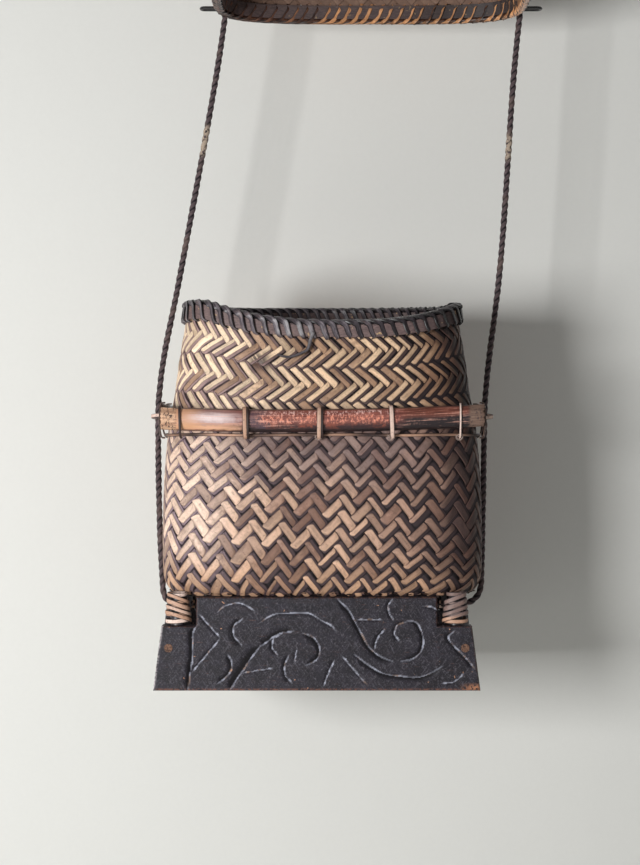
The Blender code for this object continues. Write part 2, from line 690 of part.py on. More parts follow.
def make_lid(bag):
    rods_top = ROD_LEVEL + SIDE_ROD_LIFT + ROD_HEIGHT / 2
    closed = Vector((BODY_SHIFT + LID_CLOSED_SHIFT, 0, rods_top + LID_SEAT))
    lid = add_empty("lid_slide", closed + Vector((LID_DRIFT_SHARE, 0, 1)) * LID_TRAVEL, bag)

    bm = bmesh.new()
    heights = [share[0] * LID_HEIGHT for share in LID_SHARES]
    outside = [[lid_point(turn, height, LID_WALL) for turn in turns(LID_SEGMENTS)]
               for height in reversed(heights)]
    inside = [[lid_point(turn, height, 0) - Vector((0, 0, LID_WALL * ease(height / LID_HEIGHT)))
               for turn in turns(LID_SEGMENTS)] for height in heights]
    lofted(bm, outside + inside)
    add_object("lid_shell", mesh_of("lid_shell", bm), "bamboo_weave", lid, math.radians(50))

    low = LID_SHARES[0][0] * LID_HEIGHT + FIT_GAP
    outer_face = LID_WALL + FIT_GAP + LID_HOOP_THICK
    ring_piece("lid_outer_hoop", "dark_rattan", lid,
               strip_section(low, low + HOOP_HEIGHT, LID_WALL + FIT_GAP, outer_face),
               lid_point, LID_SEGMENTS)
    ring_piece("lid_inner_hoop", "pale_rattan", lid,
               strip_section(low, low + HOOP_HEIGHT, -FIT_GAP - LID_HOOP_THICK, -FIT_GAP),
               lid_point, LID_SEGMENTS)
    braid_top = LID_SHARES[0][0] * LID_HEIGHT - FIT_GAP
    ring_piece("lid_braid", "dark_rattan", lid,
               braid_section(0, braid_top, -LID_BRAID_INSET, outer_face),
               lid_point, LID_SEGMENTS)
    rim_level = low + HOOP_HEIGHT / 2
    make_loop("lid_left_loop", -1, LEFT_LOOP_REACH, rim_level, outer_face, lid)
    make_loop("lid_right_loop", 1, RIGHT_LOOP_REACH, rim_level, outer_face, lid)


# Strap and its end knots

def smooth_curve(points, step):
    """Points on a smooth curve through the route, no further apart than step."""
    points = [Vector(point) for point in points]
    spans = [(after - before).length for before, after in zip(points, points[1:])]
    slopes = [(after - before) / span for before, after, span in zip(points, points[1:], spans)]
    tangents = [slopes[0]]
    for index in range(1, len(points) - 1):
        before, after = spans[index - 1], spans[index]
        tangents.append((slopes[index - 1] * after + slopes[index] * before) / (before + after))
    tangents.append(slopes[-1])
    curve = [points[0]]
    for index, span in enumerate(spans):
        parts = max(1, math.ceil(span / step))
        for part in range(1, parts + 1):
            t = part / parts
            curve.append(
                points[index] * (2 * t**3 - 3 * t**2 + 1)
                + tangents[index] * span * (t**3 - 2 * t**2 + t)
                + points[index + 1] * (3 * t**2 - 2 * t**3)
                + tangents[index + 1] * span * (t**3 - t**2)
            )
    return curve


def strap_route():
    """The route in the bag's own places."""
    return [Vector((x, y, BASE_HEIGHT + above)) for x, y, above in STRAP_ROUTE]


def make_strap(bag):
    route = strap_route()
    path = smooth_curve(route, STRAP_STEP)
    length = sum((after - before).length for before, after in zip(path, path[1:]))
    print("strap length, mm:", round(1000 * length), "points:", len(path))
    add_curve_tube("strap_cord", path, STRAP_DIAMETER / 2, 2, "strap_fibre", bag)
    for side, end, facing in (("left", route[0], 1), ("right", route[-1], -1)):
        bm = bmesh.new()
        rings = []
        for index in range(KNOT_RINGS + 1):
            share = index / KNOT_RINGS
            swell = math.sin(math.pi * share) ** KNOT_ROUNDNESS
            radius = KNOT_DIAMETER / 2 * (KNOT_END_SHARE + (1 - KNOT_END_SHARE) * swell)
            x = end[0] + facing * (FIT_GAP + KNOT_DIAMETER * share)
            rings.append([Vector((x, end[1] + radius * math.cos(turn),
                                  end[2] + radius * math.sin(turn)))
                          for turn in turns(KNOT_SIDES)])
        lofted(bm, rings)
        name = side + "_strap_knot"
        add_object(name, mesh_of(name, bm), "strap_fibre", bag, math.radians(60))


def main():
    for old in list(bpy.data.objects):
        bpy.data.objects.remove(old, do_unlink=True)
    top_bend = max(strap_route(), key=lambda point: point.z)
    bag = add_empty("bag", Vector((0, 0, STRAP_DIAMETER / 2)) - top_bend)
    make_basket(bag)
    make_waist(bag)
    make_base(bag)
    make_lid(bag)
    make_strap(bag)


main()
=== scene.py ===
import math

import bmesh
import bpy
import numpy as np
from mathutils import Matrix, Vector


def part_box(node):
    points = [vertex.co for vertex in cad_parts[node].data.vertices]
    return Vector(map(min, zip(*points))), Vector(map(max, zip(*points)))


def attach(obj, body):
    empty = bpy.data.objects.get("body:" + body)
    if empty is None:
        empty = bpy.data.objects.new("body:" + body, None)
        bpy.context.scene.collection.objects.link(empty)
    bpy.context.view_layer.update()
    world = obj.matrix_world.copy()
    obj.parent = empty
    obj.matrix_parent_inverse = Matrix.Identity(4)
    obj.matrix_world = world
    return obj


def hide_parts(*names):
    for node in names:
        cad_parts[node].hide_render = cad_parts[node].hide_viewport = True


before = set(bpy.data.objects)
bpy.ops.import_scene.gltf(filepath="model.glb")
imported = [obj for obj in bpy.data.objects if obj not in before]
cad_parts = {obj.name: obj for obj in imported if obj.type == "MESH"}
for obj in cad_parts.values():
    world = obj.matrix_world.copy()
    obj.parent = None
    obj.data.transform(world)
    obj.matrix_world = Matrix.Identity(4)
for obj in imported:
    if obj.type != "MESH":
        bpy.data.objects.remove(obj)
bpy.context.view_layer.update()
rng = np.random.default_rng(11)
perMetre = 1000.0

frontBoardBox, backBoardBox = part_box("base_front_board"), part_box("base_back_board")
bagPlace = np.array([(frontBoardBox[0].x + frontBoardBox[1].x) / 2,
                     (frontBoardBox[0].y + backBoardBox[1].y) / 2, frontBoardBox[0].z])
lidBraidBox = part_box("lid_braid")
lidPlace = np.array([(lidBraidBox[0].x + lidBraidBox[1].x) / 2,
                     (lidBraidBox[0].y + lidBraidBox[1].y) / 2, lidBraidBox[0].z])
boardTop = (frontBoardBox[1].z - frontBoardBox[0].z) * perMetre


def localBox(node):
    low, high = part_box(node)
    return (np.array(low) - bagPlace) * perMetre, (np.array(high) - bagPlace) * perMetre


# Camera, light and backdrop

view = {"cameraAt": (2.0, -1157.0, 158.0), "lens": 74.85, "longSide": 36.0,
        "near": 50.0, "far": 20000.0}
light = {
    "key": {"at": (-670.0, -1020.0, 130.0), "size": 360.0, "watts": 14.3},
    "fill": {"at": (700.0, -1000.0, 250.0), "size": 900.0, "watts": 0.5},
    "behind": {"at": (300.0, 1250.0, 420.0), "size": 700.0, "watts": 8.0},
    "aimAt": (0.0, 0.0, 200.0), "sky": 0.18, "skySeen": 0.72,
}
backdrop = {"wallAt": 122.0, "floorAt": -330.0, "reach": 1600.0, "colour": (219, 219, 215)}


def toRow(point):
    return Vector(np.array(point) / perMetre + bagPlace)


def srgb(red, green, blue):
    return tuple((value / 255 / 12.92 if value <= 10 else ((value / 255 + 0.055) / 1.055) ** 2.4)
                 for value in (red, green, blue))


def makeCamera():
    data = bpy.data.cameras.new("photoCamera")
    data.lens = view["lens"]
    data.sensor_width = view["longSide"]
    data.clip_start, data.clip_end = view["near"] / perMetre, view["far"] / perMetre
    camera = bpy.data.objects.new("photoCamera", data)
    bpy.context.scene.collection.objects.link(camera)
    camera.location = toRow(view["cameraAt"])
    camera.rotation_euler = (math.pi / 2, 0, 0)
    bpy.context.scene.camera = camera


def makeLamp(name, at, size, watts):
    data = bpy.data.lights.new(name, "AREA")
    data.shape = "SQUARE"
    data.size = size / perMetre
    data.energy = watts
    lamp = bpy.data.objects.new(name, data)
    bpy.context.scene.collection.objects.link(lamp)
    lamp.location = toRow(at)
    aim = toRow(light["aimAt"]) - lamp.location
    lamp.rotation_euler = aim.to_track_quat("-Z", "Y").to_euler()


makeCamera()
for lamp in ("key", "fill", "behind"):
    makeLamp(lamp + "Lamp", **light[lamp])
print("camera and lamps are in place")


# Shader writing

class Link:  # one socket of a node, with the operators that shader maths needs
    def __init__(self, finish, socket):
        self.finish, self.socket = finish, socket

    def math(self, operation, *values):
        return self.finish.node("ShaderNodeMath", {"operation": operation}, *values)

    def __add__(self, other):
        return self.math("ADD", self, other)

    def __sub__(self, other):
        return self.math("SUBTRACT", self, other)

    def __rsub__(self, other):
        return self.math("SUBTRACT", other, self)

    def __mul__(self, other):
        return self.math("MULTIPLY", self, other)

    def __mod__(self, other):
        return self.math("FLOORED_MODULO", self, other)

    def __abs__(self):
        return self.math("ABSOLUTE", self)

    __radd__, __rmul__ = __add__, __mul__

    def above(self, low, high):  # 0 below low, 1 above high, smooth between
        return self.finish.node("ShaderNodeMapRange", {"interpolation_type": "SMOOTHSTEP"},
                                self, low, high, 0.0, 1.0)

    def within(self, low, high, soft):  # 1 from low to high, soft outside them
        return self.above(low - soft, low + soft) * (1 - self.above(high - soft, high + soft))


class Finish:  # a material whose nodes are made in one place
    def __init__(self, name, owner=None):
        self.material = owner or bpy.data.materials.new(name)
        self.material.use_nodes = True
        self.tree = self.material.node_tree
        self.shader = self.tree.nodes.get("Principled BSDF")

    def node(self, kind, settings=None, *values, out=0, **named):
        made = self.tree.nodes.new(kind)
        for key, value in (settings or {}).items():
            setattr(made, key, value)
        for index, value in list(enumerate(values)) + list(named.items()):
            self.feed(made.inputs[index], value)
        return Link(self, made.outputs[out])

    def feed(self, target, value):
        if isinstance(value, Link):
            self.tree.links.new(value.socket, target)
        elif value is not None:
            if target.type == "RGBA" and len(value) == 3:
                value = (*value, 1.0)
            target.default_value = value

    def mix(self, share, first, second):  # its colour sockets come after five for other types
        return self.node("ShaderNodeMix", {"data_type": "RGBA"}, share, *[None] * 5, first, second,
                         out=2)

    def shade(self, colour, level):  # a colour made lighter or darker, 1 leaves it as it is
        return self.node("ShaderNodeVectorMath", {"operation": "SCALE"}, colour, Scale=level)

    def noise(self, where, scale, detail=2.0, roughness=0.5):
        return self.node("ShaderNodeTexNoise", {}, Vector=where, Scale=scale, Detail=detail,
                         Roughness=roughness)

    def vector(self, x, y, z):
        return self.node("ShaderNodeCombineXYZ", {}, x, y, z)

    def split(self, vector):
        made = self.node("ShaderNodeSeparateXYZ", {}, vector)
        return [Link(self, socket) for socket in made.socket.node.outputs]

    def place(self, place):  # millimetres from the bag's or the lid's own middle
        where = self.node("ShaderNodeTexCoord", out=3)
        moved = self.node("ShaderNodeVectorMath", {"operation": "SUBTRACT"}, where, tuple(place))
        scaled = self.node("ShaderNodeVectorMath", {"operation": "SCALE"}, moved, Scale=perMetre)
        return scaled, *self.split(scaled)

    def marks(self):  # the four values that each mesh carries for its material
        made = self.node("ShaderNodeAttribute", {"attribute_name": "marks"})
        return (*self.split(made), Link(self, made.socket.node.outputs[3]))

    def bump(self, height, strength, distance):
        return self.node("ShaderNodeBump", {}, Height=height, Strength=strength,
                         Distance=distance / perMetre)

    def done(self, colour, roughness, normal=None, **fixed):
        self.feed(self.shader.inputs["Base Color"], colour)
        self.feed(self.shader.inputs["Roughness"], roughness)
        self.feed(self.shader.inputs["Normal"], normal)
        for name, value in fixed.items():
            self.feed(self.shader.inputs[name.replace("_", " ")], value)
        return self.material


def backdropFinish():
    finish = Finish("backdrop")
    where = finish.place(bagPlace)[0]
    grain = finish.noise(where, 0.35, 3.0)
    colour = finish.shade(srgb(*backdrop["colour"]), 0.985 + 0.03 * grain)
    finish.done(colour, 0.9, Specular_IOR_Level=0.1)
    back = finish.node("ShaderNodeNewGeometry", out=6)
    lampRay = finish.node("ShaderNodeLightPath", out=1)  # light from behind comes through
    clear = finish.node("ShaderNodeBsdfTransparent")
    seen = finish.node("ShaderNodeMixShader", {}, back.math("MAXIMUM", back, lampRay),
                       Link(finish, finish.shader.outputs[0]), clear)
    finish.tree.links.new(seen.socket, finish.tree.nodes["Material Output"].inputs[0])
    return finish.material


# Mesh writing

class Shape:  # rings of points joined into tubes and strips, with marks for the material
    def __init__(self):
        self.points, self.marks, self.faces, self.count = [], [], [], 0

    def grid(self, points, marks, ends=False, keep=None):
        # points: strips x rings x corners x 3. Each ring is closed, and ends caps each strip.
        strips, rings, corners = points.shape[:3]
        index = np.arange(strips * rings * corners).reshape(strips, rings, corners) + self.count
        turned = np.roll(index, -1, axis=2)
        quads = np.stack([index[:, :-1], turned[:, :-1], turned[:, 1:], index[:, 1:]], axis=-1)
        if keep is not None:
            quads = quads[keep[:, :-1] & keep[:, 1:]]
        self.faces.extend(quads.reshape(-1, 4).tolist())
        if ends:
            self.faces.extend(index[:, 0, ::-1].tolist())
            self.faces.extend(index[:, -1].tolist())
        self.points.append(points.reshape(-1, 3))
        self.marks.append(np.broadcast_to(marks, points.shape[:3] + (4,)).reshape(-1, 4))
        self.count += strips * rings * corners

    def piece(self, name, material, body, slot, replaced=(), place=bagPlace, smooth=40):
        points, marks = np.concatenate(self.points), np.concatenate(self.marks)
        mesh = bpy.data.meshes.new(name)
        mesh.from_pydata((points / perMetre + place).tolist(), [], self.faces)
        layer = mesh.attributes.new("marks", "FLOAT_COLOR", "POINT")
        layer.data.foreach_set("color", marks.astype(np.float32).ravel())
        mesh.materials.append(material)
        mesh.validate()
        loose = np.ones(len(mesh.vertices), bool)
        loose[np.array([loop.vertex_index for loop in mesh.loops])] = False
        if loose.any():
            dropLoose(mesh, loose)
        mesh.shade_smooth()
        mesh.set_sharp_from_angle(angle=math.radians(smooth))
        made = bpy.data.objects.new(name, mesh)
        bpy.context.scene.collection.objects.link(made)
        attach(made, body)
        if replaced:
            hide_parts(*replaced)
        return made


def dropLoose(mesh, loose):
    work = bmesh.new()
    work.from_mesh(mesh)
    work.verts.ensure_lookup_table()
    gone = [work.verts[index] for index in np.flatnonzero(loose)]
    bmesh.ops.delete(work, geom=gone, context="VERTS")
    work.to_mesh(mesh)
    work.free()


def unit(vectors):
    return vectors / np.maximum(np.linalg.norm(vectors, axis=-1, keepdims=True), 1e-9)


def ease(share):
    share = np.clip(share, 0, 1)
    return share * share * (3 - 2 * share)


def smoothCurve(points, step):
    # Points on a smooth curve through the given ones, no further apart than step.
    points = np.array(points, float)
    spans = np.linalg.norm(np.diff(points, axis=0), axis=1)
    slopes = np.diff(points, axis=0) / spans[:, None]
    inner = (slopes[:-1] * spans[1:, None] + slopes[1:] * spans[:-1, None])
    inner /= (spans[:-1] + spans[1:])[:, None]
    tangents = np.vstack([slopes[:1], inner, slopes[-1:]])
    curve = [points[:1]]
    for index, span in enumerate(spans):
        parts = max(1, math.ceil(span / step))
        t = (np.arange(parts) + 1)[:, None] / parts
        curve.append(points[index] * (2 * t**3 - 3 * t**2 + 1)
                     + tangents[index] * span * (t**3 - 2 * t**2 + t)
                     + points[index + 1] * (3 * t**2 - 2 * t**3)
                     + tangents[index + 1] * span * (t**3 - t**2))
    return np.vstack(curve)


def carriedFrames(path):
    # Two directions square to a path, carried along it without twist.
    along = unit(np.gradient(path, axis=0))
    start = np.array([0.0, 0, 1]) if abs(along[0, 2]) < 0.7 else np.array([1.0, 0, 0])
    across = unit(np.cross(along[0], start))
    first = []
    for direction in along:
        across = unit(across - direction * across.dot(direction))
        first.append(across)
    first = np.array(first)
    return first, np.cross(along, first)


def roundSection(sides):
    turn = 2 * math.pi * np.arange(sides) / sides
    return np.stack([np.cos(turn), np.sin(turn)], axis=1)


stripSection = np.array([(1.0, 0.0), (0.9, 0.8), (0.35, 1.0), (-0.35, 1.0), (-0.9, 0.8), (-1.0, 0.0),
                         (-0.85, -0.5), (0.85, -0.5)])


def rings(path, across, up, section, half, thick):
    # A ring of section corners at each point: half and thick scale its two directions.
    half, thick = np.broadcast_to(half, path.shape[:-1]), np.broadcast_to(thick, path.shape[:-1])
    return (path[..., None, :] + across[..., None, :] * (half[..., None] * section[:, 0])[..., None]
            + up[..., None, :] * (thick[..., None] * section[:, 1])[..., None])


def lineMarks(path, section, tone, other=0.0):
    # Marks of a strip: across it, along it in millimetres, its tone, and one value more.
    steps = np.linalg.norm(np.diff(path, axis=0, prepend=path[:1]), axis=1)
    marks = np.zeros(path.shape[:1] + (len(section), 4))
    marks[..., 0] = (section[:, 0] + 1) / 2
    marks[..., 1] = np.cumsum(steps)[:, None]
    marks[..., 2], marks[..., 3] = tone, other
    return marks


def addStrip(shape, path, up, half, thick, tone):
    # A flat strip along a path; up points out of its face.
    path, up = np.array(path, float), np.array(up, float)
    along = unit(np.gradient(path, axis=0))
    up = unit(up - along * np.sum(up * along, axis=1, keepdims=True))
    across = np.cross(up, along)
    shape.grid(rings(path, across, up, stripSection, half, thick)[None],
               lineMarks(path, stripSection, tone)[None], ends=True)


def addTube(shape, path, radius, tone, sides=12):
    path = np.array(path, float)
    first, second = carriedFrames(path)
    section = roundSection(sides)
    shape.grid(rings(path, first, second, section, radius, radius)[None],
               lineMarks(path, section, tone)[None], ends=True)


# Strap: the same route as the part's, with heights above the base's top

strap = {
    "diameter": 4.0, "step": 24.0, "realLength": 1256.0, "ringStep": 0.9,
    "lay": 10.5, "groove": 1.46, "crown": 0.66, "sides": 18,
    "route": (
        (-81.3, 20.0, -11.0), (-92.0, 20.0, -11.0), (-96.25, 20.1, -9.9), (-99.4, 20.3, -6.8),
        (-100.7, 20.7, -2.5), (-101.6, 22.2, 10.0), (-103.4, 27.5, 38.0), (-105.0, 35.5, 73.0),
        (-105.8, 41.5, 97.0), (-106.0, 42.9, 109.0), (-105.6, 43.0, 123.0), (-103.9, 43.0, 140.0),
        (-93.4, 43.0, 195.0), (-66.5, 43.0, 343.0), (-50.8, 43.0, 443.0), (-48.3, 43.0, 454.0),
        (-42.8, 43.0, 464.5), (-34.0, 43.0, 474.5), (20.5, 43.0, 523.5), (44.5, 43.0, 545.0),
        (51.5, 43.0, 550.7), (58.0, 43.0, 553.0), (64.5, 43.0, 550.7), (70.0, 43.0, 545.0),
        (94.5, 43.0, 517.5), (121.5, 43.0, 488.0), (132.0, 43.0, 477.0), (139.0, 43.0, 465.5),
        (141.2, 43.0, 454.0), (140.8, 43.0, 443.0), (131.6, 43.0, 343.0), (120.5, 43.0, 195.0),
        (113.6, 43.0, 140.0), (112.1, 43.0, 123.0), (111.6, 42.9, 109.0), (111.3, 41.5, 97.0),
        (110.4, 35.5, 73.0), (109.0, 27.5, 38.0), (107.9, 22.2, 13.0), (107.5, 20.7, 1.0),
        (105.9, 20.3, -5.0), (101.5, 20.1, -9.4), (95.5, 20.0, -11.0), (81.3, 20.0, -11.0),
    ),
    "smoothings": 3, "plyPower": 0.8, "unevenShare": 0.03, "unevenLength": 7.3, "routeEvery": 5,
    # the overhand knot: half width and height of its loops, and its distance from the cord's end
    "knotRadius": 1.5, "knotWide": 1.815, "knotHigh": 1.122, "knotOut": 4.455, "knotRings": 90,
}


def fibreFinish():
    finish = Finish("strapFibre")
    where, x, _, z = finish.place(bagPlace)
    across, along, tone, extra = finish.marks()
    strand = finish.noise(finish.vector(across * 9, along * 0.35, tone * 7), 1.6, 4.0, 0.6)
    worn = finish.noise(where, 0.09, 2.0).above(0.5, 0.72)
    pale = (1 - x.above(0, 90)) * z.within(343, 362, 3) + x.above(0, 90) * z.within(340, 356, 3)
    colour = finish.mix(strand.above(0.3, 0.75), srgb(46, 38, 42), srgb(116, 98, 100))
    # near-black where extra, the ply's height, is low: painted shade in the groove between the two plies
    colour = finish.mix(extra.above(0.2, 0.75), srgb(22, 16, 20), colour)
    colour = finish.mix(worn * 0.35, colour, srgb(128, 108, 98))
    colour = finish.mix(pale * finish.noise(where, 0.6).above(0.36, 0.52) * 0.75, colour,
                        srgb(190, 172, 152))
    return finish.done(colour, 0.62 + 0.2 * strand, finish.bump(strand, 0.7, 0.35),
                       Specular_IOR_Level=0.35)


def makeStrap():
    path = smoothCurve([(x, y, boardTop + above) for x, y, above in strap["route"]],
                       strap["step"])
    lengths = np.concatenate([[0], np.cumsum(np.linalg.norm(np.diff(path, axis=0), axis=1))])
    count = int(lengths[-1] / strap["ringStep"])
    even = np.linspace(0, lengths[-1], count)
    line = np.stack([np.interp(even, lengths, path[:, axis]) for axis in range(3)], axis=1)
    for _ in range(strap["smoothings"]):  # rounds off the corners of the sampled curve
        line[1:-1] = (line[:-2] + 2 * line[1:-1] + line[2:]) / 4
    first, second = carriedFrames(line)
    turn = 2 * math.pi * np.arange(strap["sides"]) / strap["sides"]
    twist = 2 * math.pi * even / strap["lay"]
    ply = np.abs(np.cos(turn[None, :] - twist[:, None]))
    radius = strap["groove"] + strap["crown"] * ply ** strap["plyPower"]
    radius *= 1 + strap["unevenShare"] * np.sin(even / strap["unevenLength"])[:, None]
    points = (line[:, None] + first[:, None] * (radius * np.cos(turn))[..., None]
              + second[:, None] * (radius * np.sin(turn))[..., None])
    marks = np.zeros(points.shape[:2] + (4,))
    marks[..., 0] = ((turn[None, :] - twist[:, None]) / math.pi) % 1.0
    marks[..., 1] = even[:, None]
    # the ply's height, which the strap's finish turns into painted shade in the groove between the plies
    marks[..., 3] = ply
    shape = Shape()
    shape.grid(points[None], marks[None], ends=True)
    fibre = fibreFinish()
    cord = shape.piece("two_ply_strap", fibre, "bag", "strap_fibre", ["strap_cord"], smooth=80)
    for side, end, facing in (("left", path[0], 1), ("right", path[-1], -1)):
        turns = np.linspace(0, 2 * math.pi, strap["knotRings"], endpoint=False)
        high = strap["knotHigh"]
        knot = np.stack([facing * (strap["knotWide"] * np.sin(3 * turns) + strap["knotOut"]),
                         high * (np.sin(turns) + 2 * np.sin(2 * turns)),
                         high * (np.cos(turns) - 2 * np.cos(2 * turns))], axis=1) + end
        shape = Shape()
        along = unit(np.roll(knot, -1, axis=0) - np.roll(knot, 1, axis=0))
        outward = unit(knot - knot.mean(axis=0))
        outward = unit(outward - along * np.sum(outward * along, axis=1, keepdims=True))
        section = roundSection(12)
        ringed = rings(knot, np.cross(outward, along), outward, section, strap["knotRadius"],
                       strap["knotRadius"])
        marks = lineMarks(knot, section, 0.5, 0.8)
        closed = np.concatenate([np.arange(len(knot)), [0]])
        shape.grid(ringed[closed][None], marks[closed][None])
        shape.piece(side + "_overhand_knot", fibre, "bag", "strap_fibre",
                                 [side + "_strap_knot"])
    shown = [*line[::strap["routeEvery"]], line[-1]]
    route = [tuple(toRow(point)) for point in shown]


makeStrap()
print("strap is in place")


# Woven walls: "around" runs once round from the front's middle, to the right first

basket = {
    "shift": 3.5, "width": 203.0, "depth": 113.0, "height": 180.7, "clear": 0.3, "wall": 2.4,
    "frontDip": 13.5, "dipSpread": 84.0, "dipShift": 10.0, "dipZone": 50.0, "dipPower": 2.6,
    # height up the wall, half width, half depth and squareness, as shares
    "profile": ((0.000, 0.925, 0.885, 4.6), (0.020, 0.962, 0.938, 4.6), (0.050, 0.988, 0.970, 4.5),
                (0.120, 0.998, 0.993, 4.4), (0.210, 1.000, 1.000, 4.3), (0.400, 0.991, 0.992, 4.1),
                (0.540, 0.972, 0.972, 3.9), (0.600, 0.960, 0.957, 3.8), (0.665, 0.936, 0.937, 3.7),
                (0.735, 0.918, 0.916, 3.6), (0.820, 0.899, 0.889, 3.5), (0.920, 0.868, 0.860, 3.4),
                (1.000, 0.842, 0.840, 3.4)),
    "columns": 124, "lean": 0.087, "rowTilt": 8.0, "lowerRow": 5.08, "upperRow": 4.0,
    "rowsChange": (160.0, 176.0), "bandsFrom": 23, "band": 3, "rowDipFrom": 118.0,
    "weaveInset": -1.25, "stripThick": 0.52, "swing": 0.44, "arch": 0.16, "lightSpread": 0.085,
    "firstRow": 0.4, "topGap": 1.0, "floorLift": 1.5, "floorAt": 2.0, "floorInset": 0.8,
    # heights between which the rows are tilted, in from the bottom and out towards the rod
    "tiltIn": 40.0, "tiltFrom": 105.0, "tiltOut": 60.0,
}
lid = {
    "height": 78.0, "wall": 1.5, "width": 195.6, "depth": 109.6, "squareness": 3.9,
    "profile": ((0.064, 1.000, 1.000), (0.180, 0.988, 0.990), (0.385, 0.967, 0.976),
                (0.577, 0.949, 0.964), (0.769, 0.938, 0.955), (0.897, 0.929, 0.947),
                (0.962, 0.885, 0.880), (0.987, 0.810, 0.780), (1.000, 0.580, 0.460)),
    "columns": 128, "row": 4.6, "firstRow": 5.2, "lastRow": 74.6, "shoulder": 77.4,
    "topShare": 0.955, "topOut": 0.4, "topLift": 0.3, "hoopThick": 1.2,
    "weaveInset": 0.75, "stripThick": 0.42, "swing": 0.33, "arch": 0.10, "lightSpread": 0.06,
}


def profileAt(profile, share):
    # Values at a height, on a smooth curve through the rows of a profile.
    rows = np.array(profile)
    last = len(rows) - 1
    share = np.asarray(share, float)
    index = np.clip(np.searchsorted(rows[:, 0], share, side="right") - 1, 0, last - 1)
    low, high = rows[index], rows[index + 1]
    earlier, later = rows[np.maximum(index - 1, 0)], rows[np.minimum(index + 2, last)]
    span = high[..., :1] - low[..., :1]
    step = np.clip((share[..., None] - low[..., :1]) / span, 0, 1)
    rise = (high - low) / span
    before = np.maximum(low[..., :1] - earlier[..., :1], 1e-6)
    after = np.maximum(later[..., :1] - high[..., :1], 1e-6)
    below = np.where((index > 0)[..., None], (rise + (low - earlier) / before) / 2, rise)
    above = np.where((index + 1 < last)[..., None], (rise + (later - high) / after) / 2, rise)
    value = ((2 * step**3 - 3 * step**2 + 1) * low + (step**3 - 2 * step**2 + step) * span * below
             + (3 * step**2 - 2 * step**3) * high + (step**3 - step**2) * span * above)
    return value[..., 1:]


def outlinePoint(halfX, halfY, squareness, direction):
    cos, sin = np.cos(direction), np.sin(direction)
    reach = (np.abs(cos / halfX) ** squareness + np.abs(sin / halfY) ** squareness)
    reach = reach ** (-1 / squareness)
    return reach * cos, reach * sin


def directionTable(halfX, halfY, squareness):
    # Directions that stand evenly along the outline, from the front's middle to the right.
    direction = np.linspace(-math.pi / 2, 3 * math.pi / 2, 3601)
    x, y = outlinePoint(halfX, halfY, squareness, direction)
    steps = np.hypot(np.diff(x), np.diff(y))
    return np.concatenate([[0], np.cumsum(steps)]), direction


class Wall:  # shared by the basket and the lid
    def __init__(self, look, bottom, shift, square):
        self.look, self.bottom, self.shift, self.square = look, bottom, shift, square
        lengths, self.direction = directionTable(*self.half(0.5 * look["height"], 0))
        self.perimeter, self.lengths = lengths[-1], lengths / lengths[-1]

    def half(self, height, offset):
        values = profileAt(self.look["profile"], np.asarray(height) / self.look["height"])
        square = values[..., 2] if self.square is None else self.square
        return (values[..., 0] * self.look["width"] / 2 + offset,
                values[..., 1] * self.look["depth"] / 2 + offset, square)

    def dip(self, x, y, halfY):
        across = np.minimum(np.abs(x - self.look["dipShift"]) / self.look["dipSpread"], 1)
        return (self.look["frontDip"] * (1 - across ** self.look["dipPower"])
                * ease(-y / halfY))

    def point(self, around, height, offset):
        around, height, offset = np.broadcast_arrays(around, height, offset)
        halfX, halfY, square = self.half(height, offset)
        direction = np.interp(around % 1.0, self.lengths, self.direction)
        x, y = outlinePoint(halfX, halfY, square, direction)
        drop = 0
        if "frontDip" in self.look:
            zone = self.look["dipZone"]
            drop = self.dip(x, y, halfY) * ease((height - self.look["height"] + zone) / zone)
        return np.stack([self.shift + x, y, self.bottom + height - drop], axis=-1)

    def rowPoint(self, around, level, offset):
        # Like point, but the rows of the weave start to dip lower down than the wall's rim.
        if "frontDip" not in self.look:
            return self.point(around, level, offset)
        flat = self.point(around, level - self.bottom, 0)
        halfY = self.half(level - self.bottom, 0)[1]
        start = self.look["rowDipFrom"]
        share = np.clip((level - start) / (self.bottom + self.look["height"] - start), 0, 1)
        wanted = level - self.dip(flat[..., 0] - self.shift, flat[..., 1], halfY) * share
        height = wanted - self.bottom
        for _ in range(6):
            height = height + wanted - self.point(around, height, 0)[..., 2]
        return self.point(around, height, offset)


basketWall = Wall(basket, boardTop + basket["clear"], basket["shift"], None)
lidWall = Wall(lid, 0.0, 0.0, lid["squareness"])

twill = {
    # where the rings of a strip stand between two rows, and where it changes sides there
    "stations": (0.0, 0.28, 0.5, 0.72), "changeFrom": 0.22, "changeOver": 0.56,
    "drift": 0.035, "stripDrift": 0.045, "driftDivisor": 2.4, "stripLight": 0.05,
    "widths": (0.90, 1.06), "narrowest": 0.94, "toneWidens": 0.09, "halfShare": 0.487,
    "plainLight": 0.64, "lightLimits": (0.34, 0.92), "panelStep": 4.6, "panelSpare": 3,
    # the ring of a strip: height of each corner as a share of its thickness, and its mark across
    "corners": (0.1, 0.8, 1.0, 0.97, 0.78, 0.1, -0.05, -0.6, -0.6),
    "cornerMarks": (1.0, 0.96, 0.82, 0.66, 0.52, 0.42, 0.0, -0.3, -0.3),
}


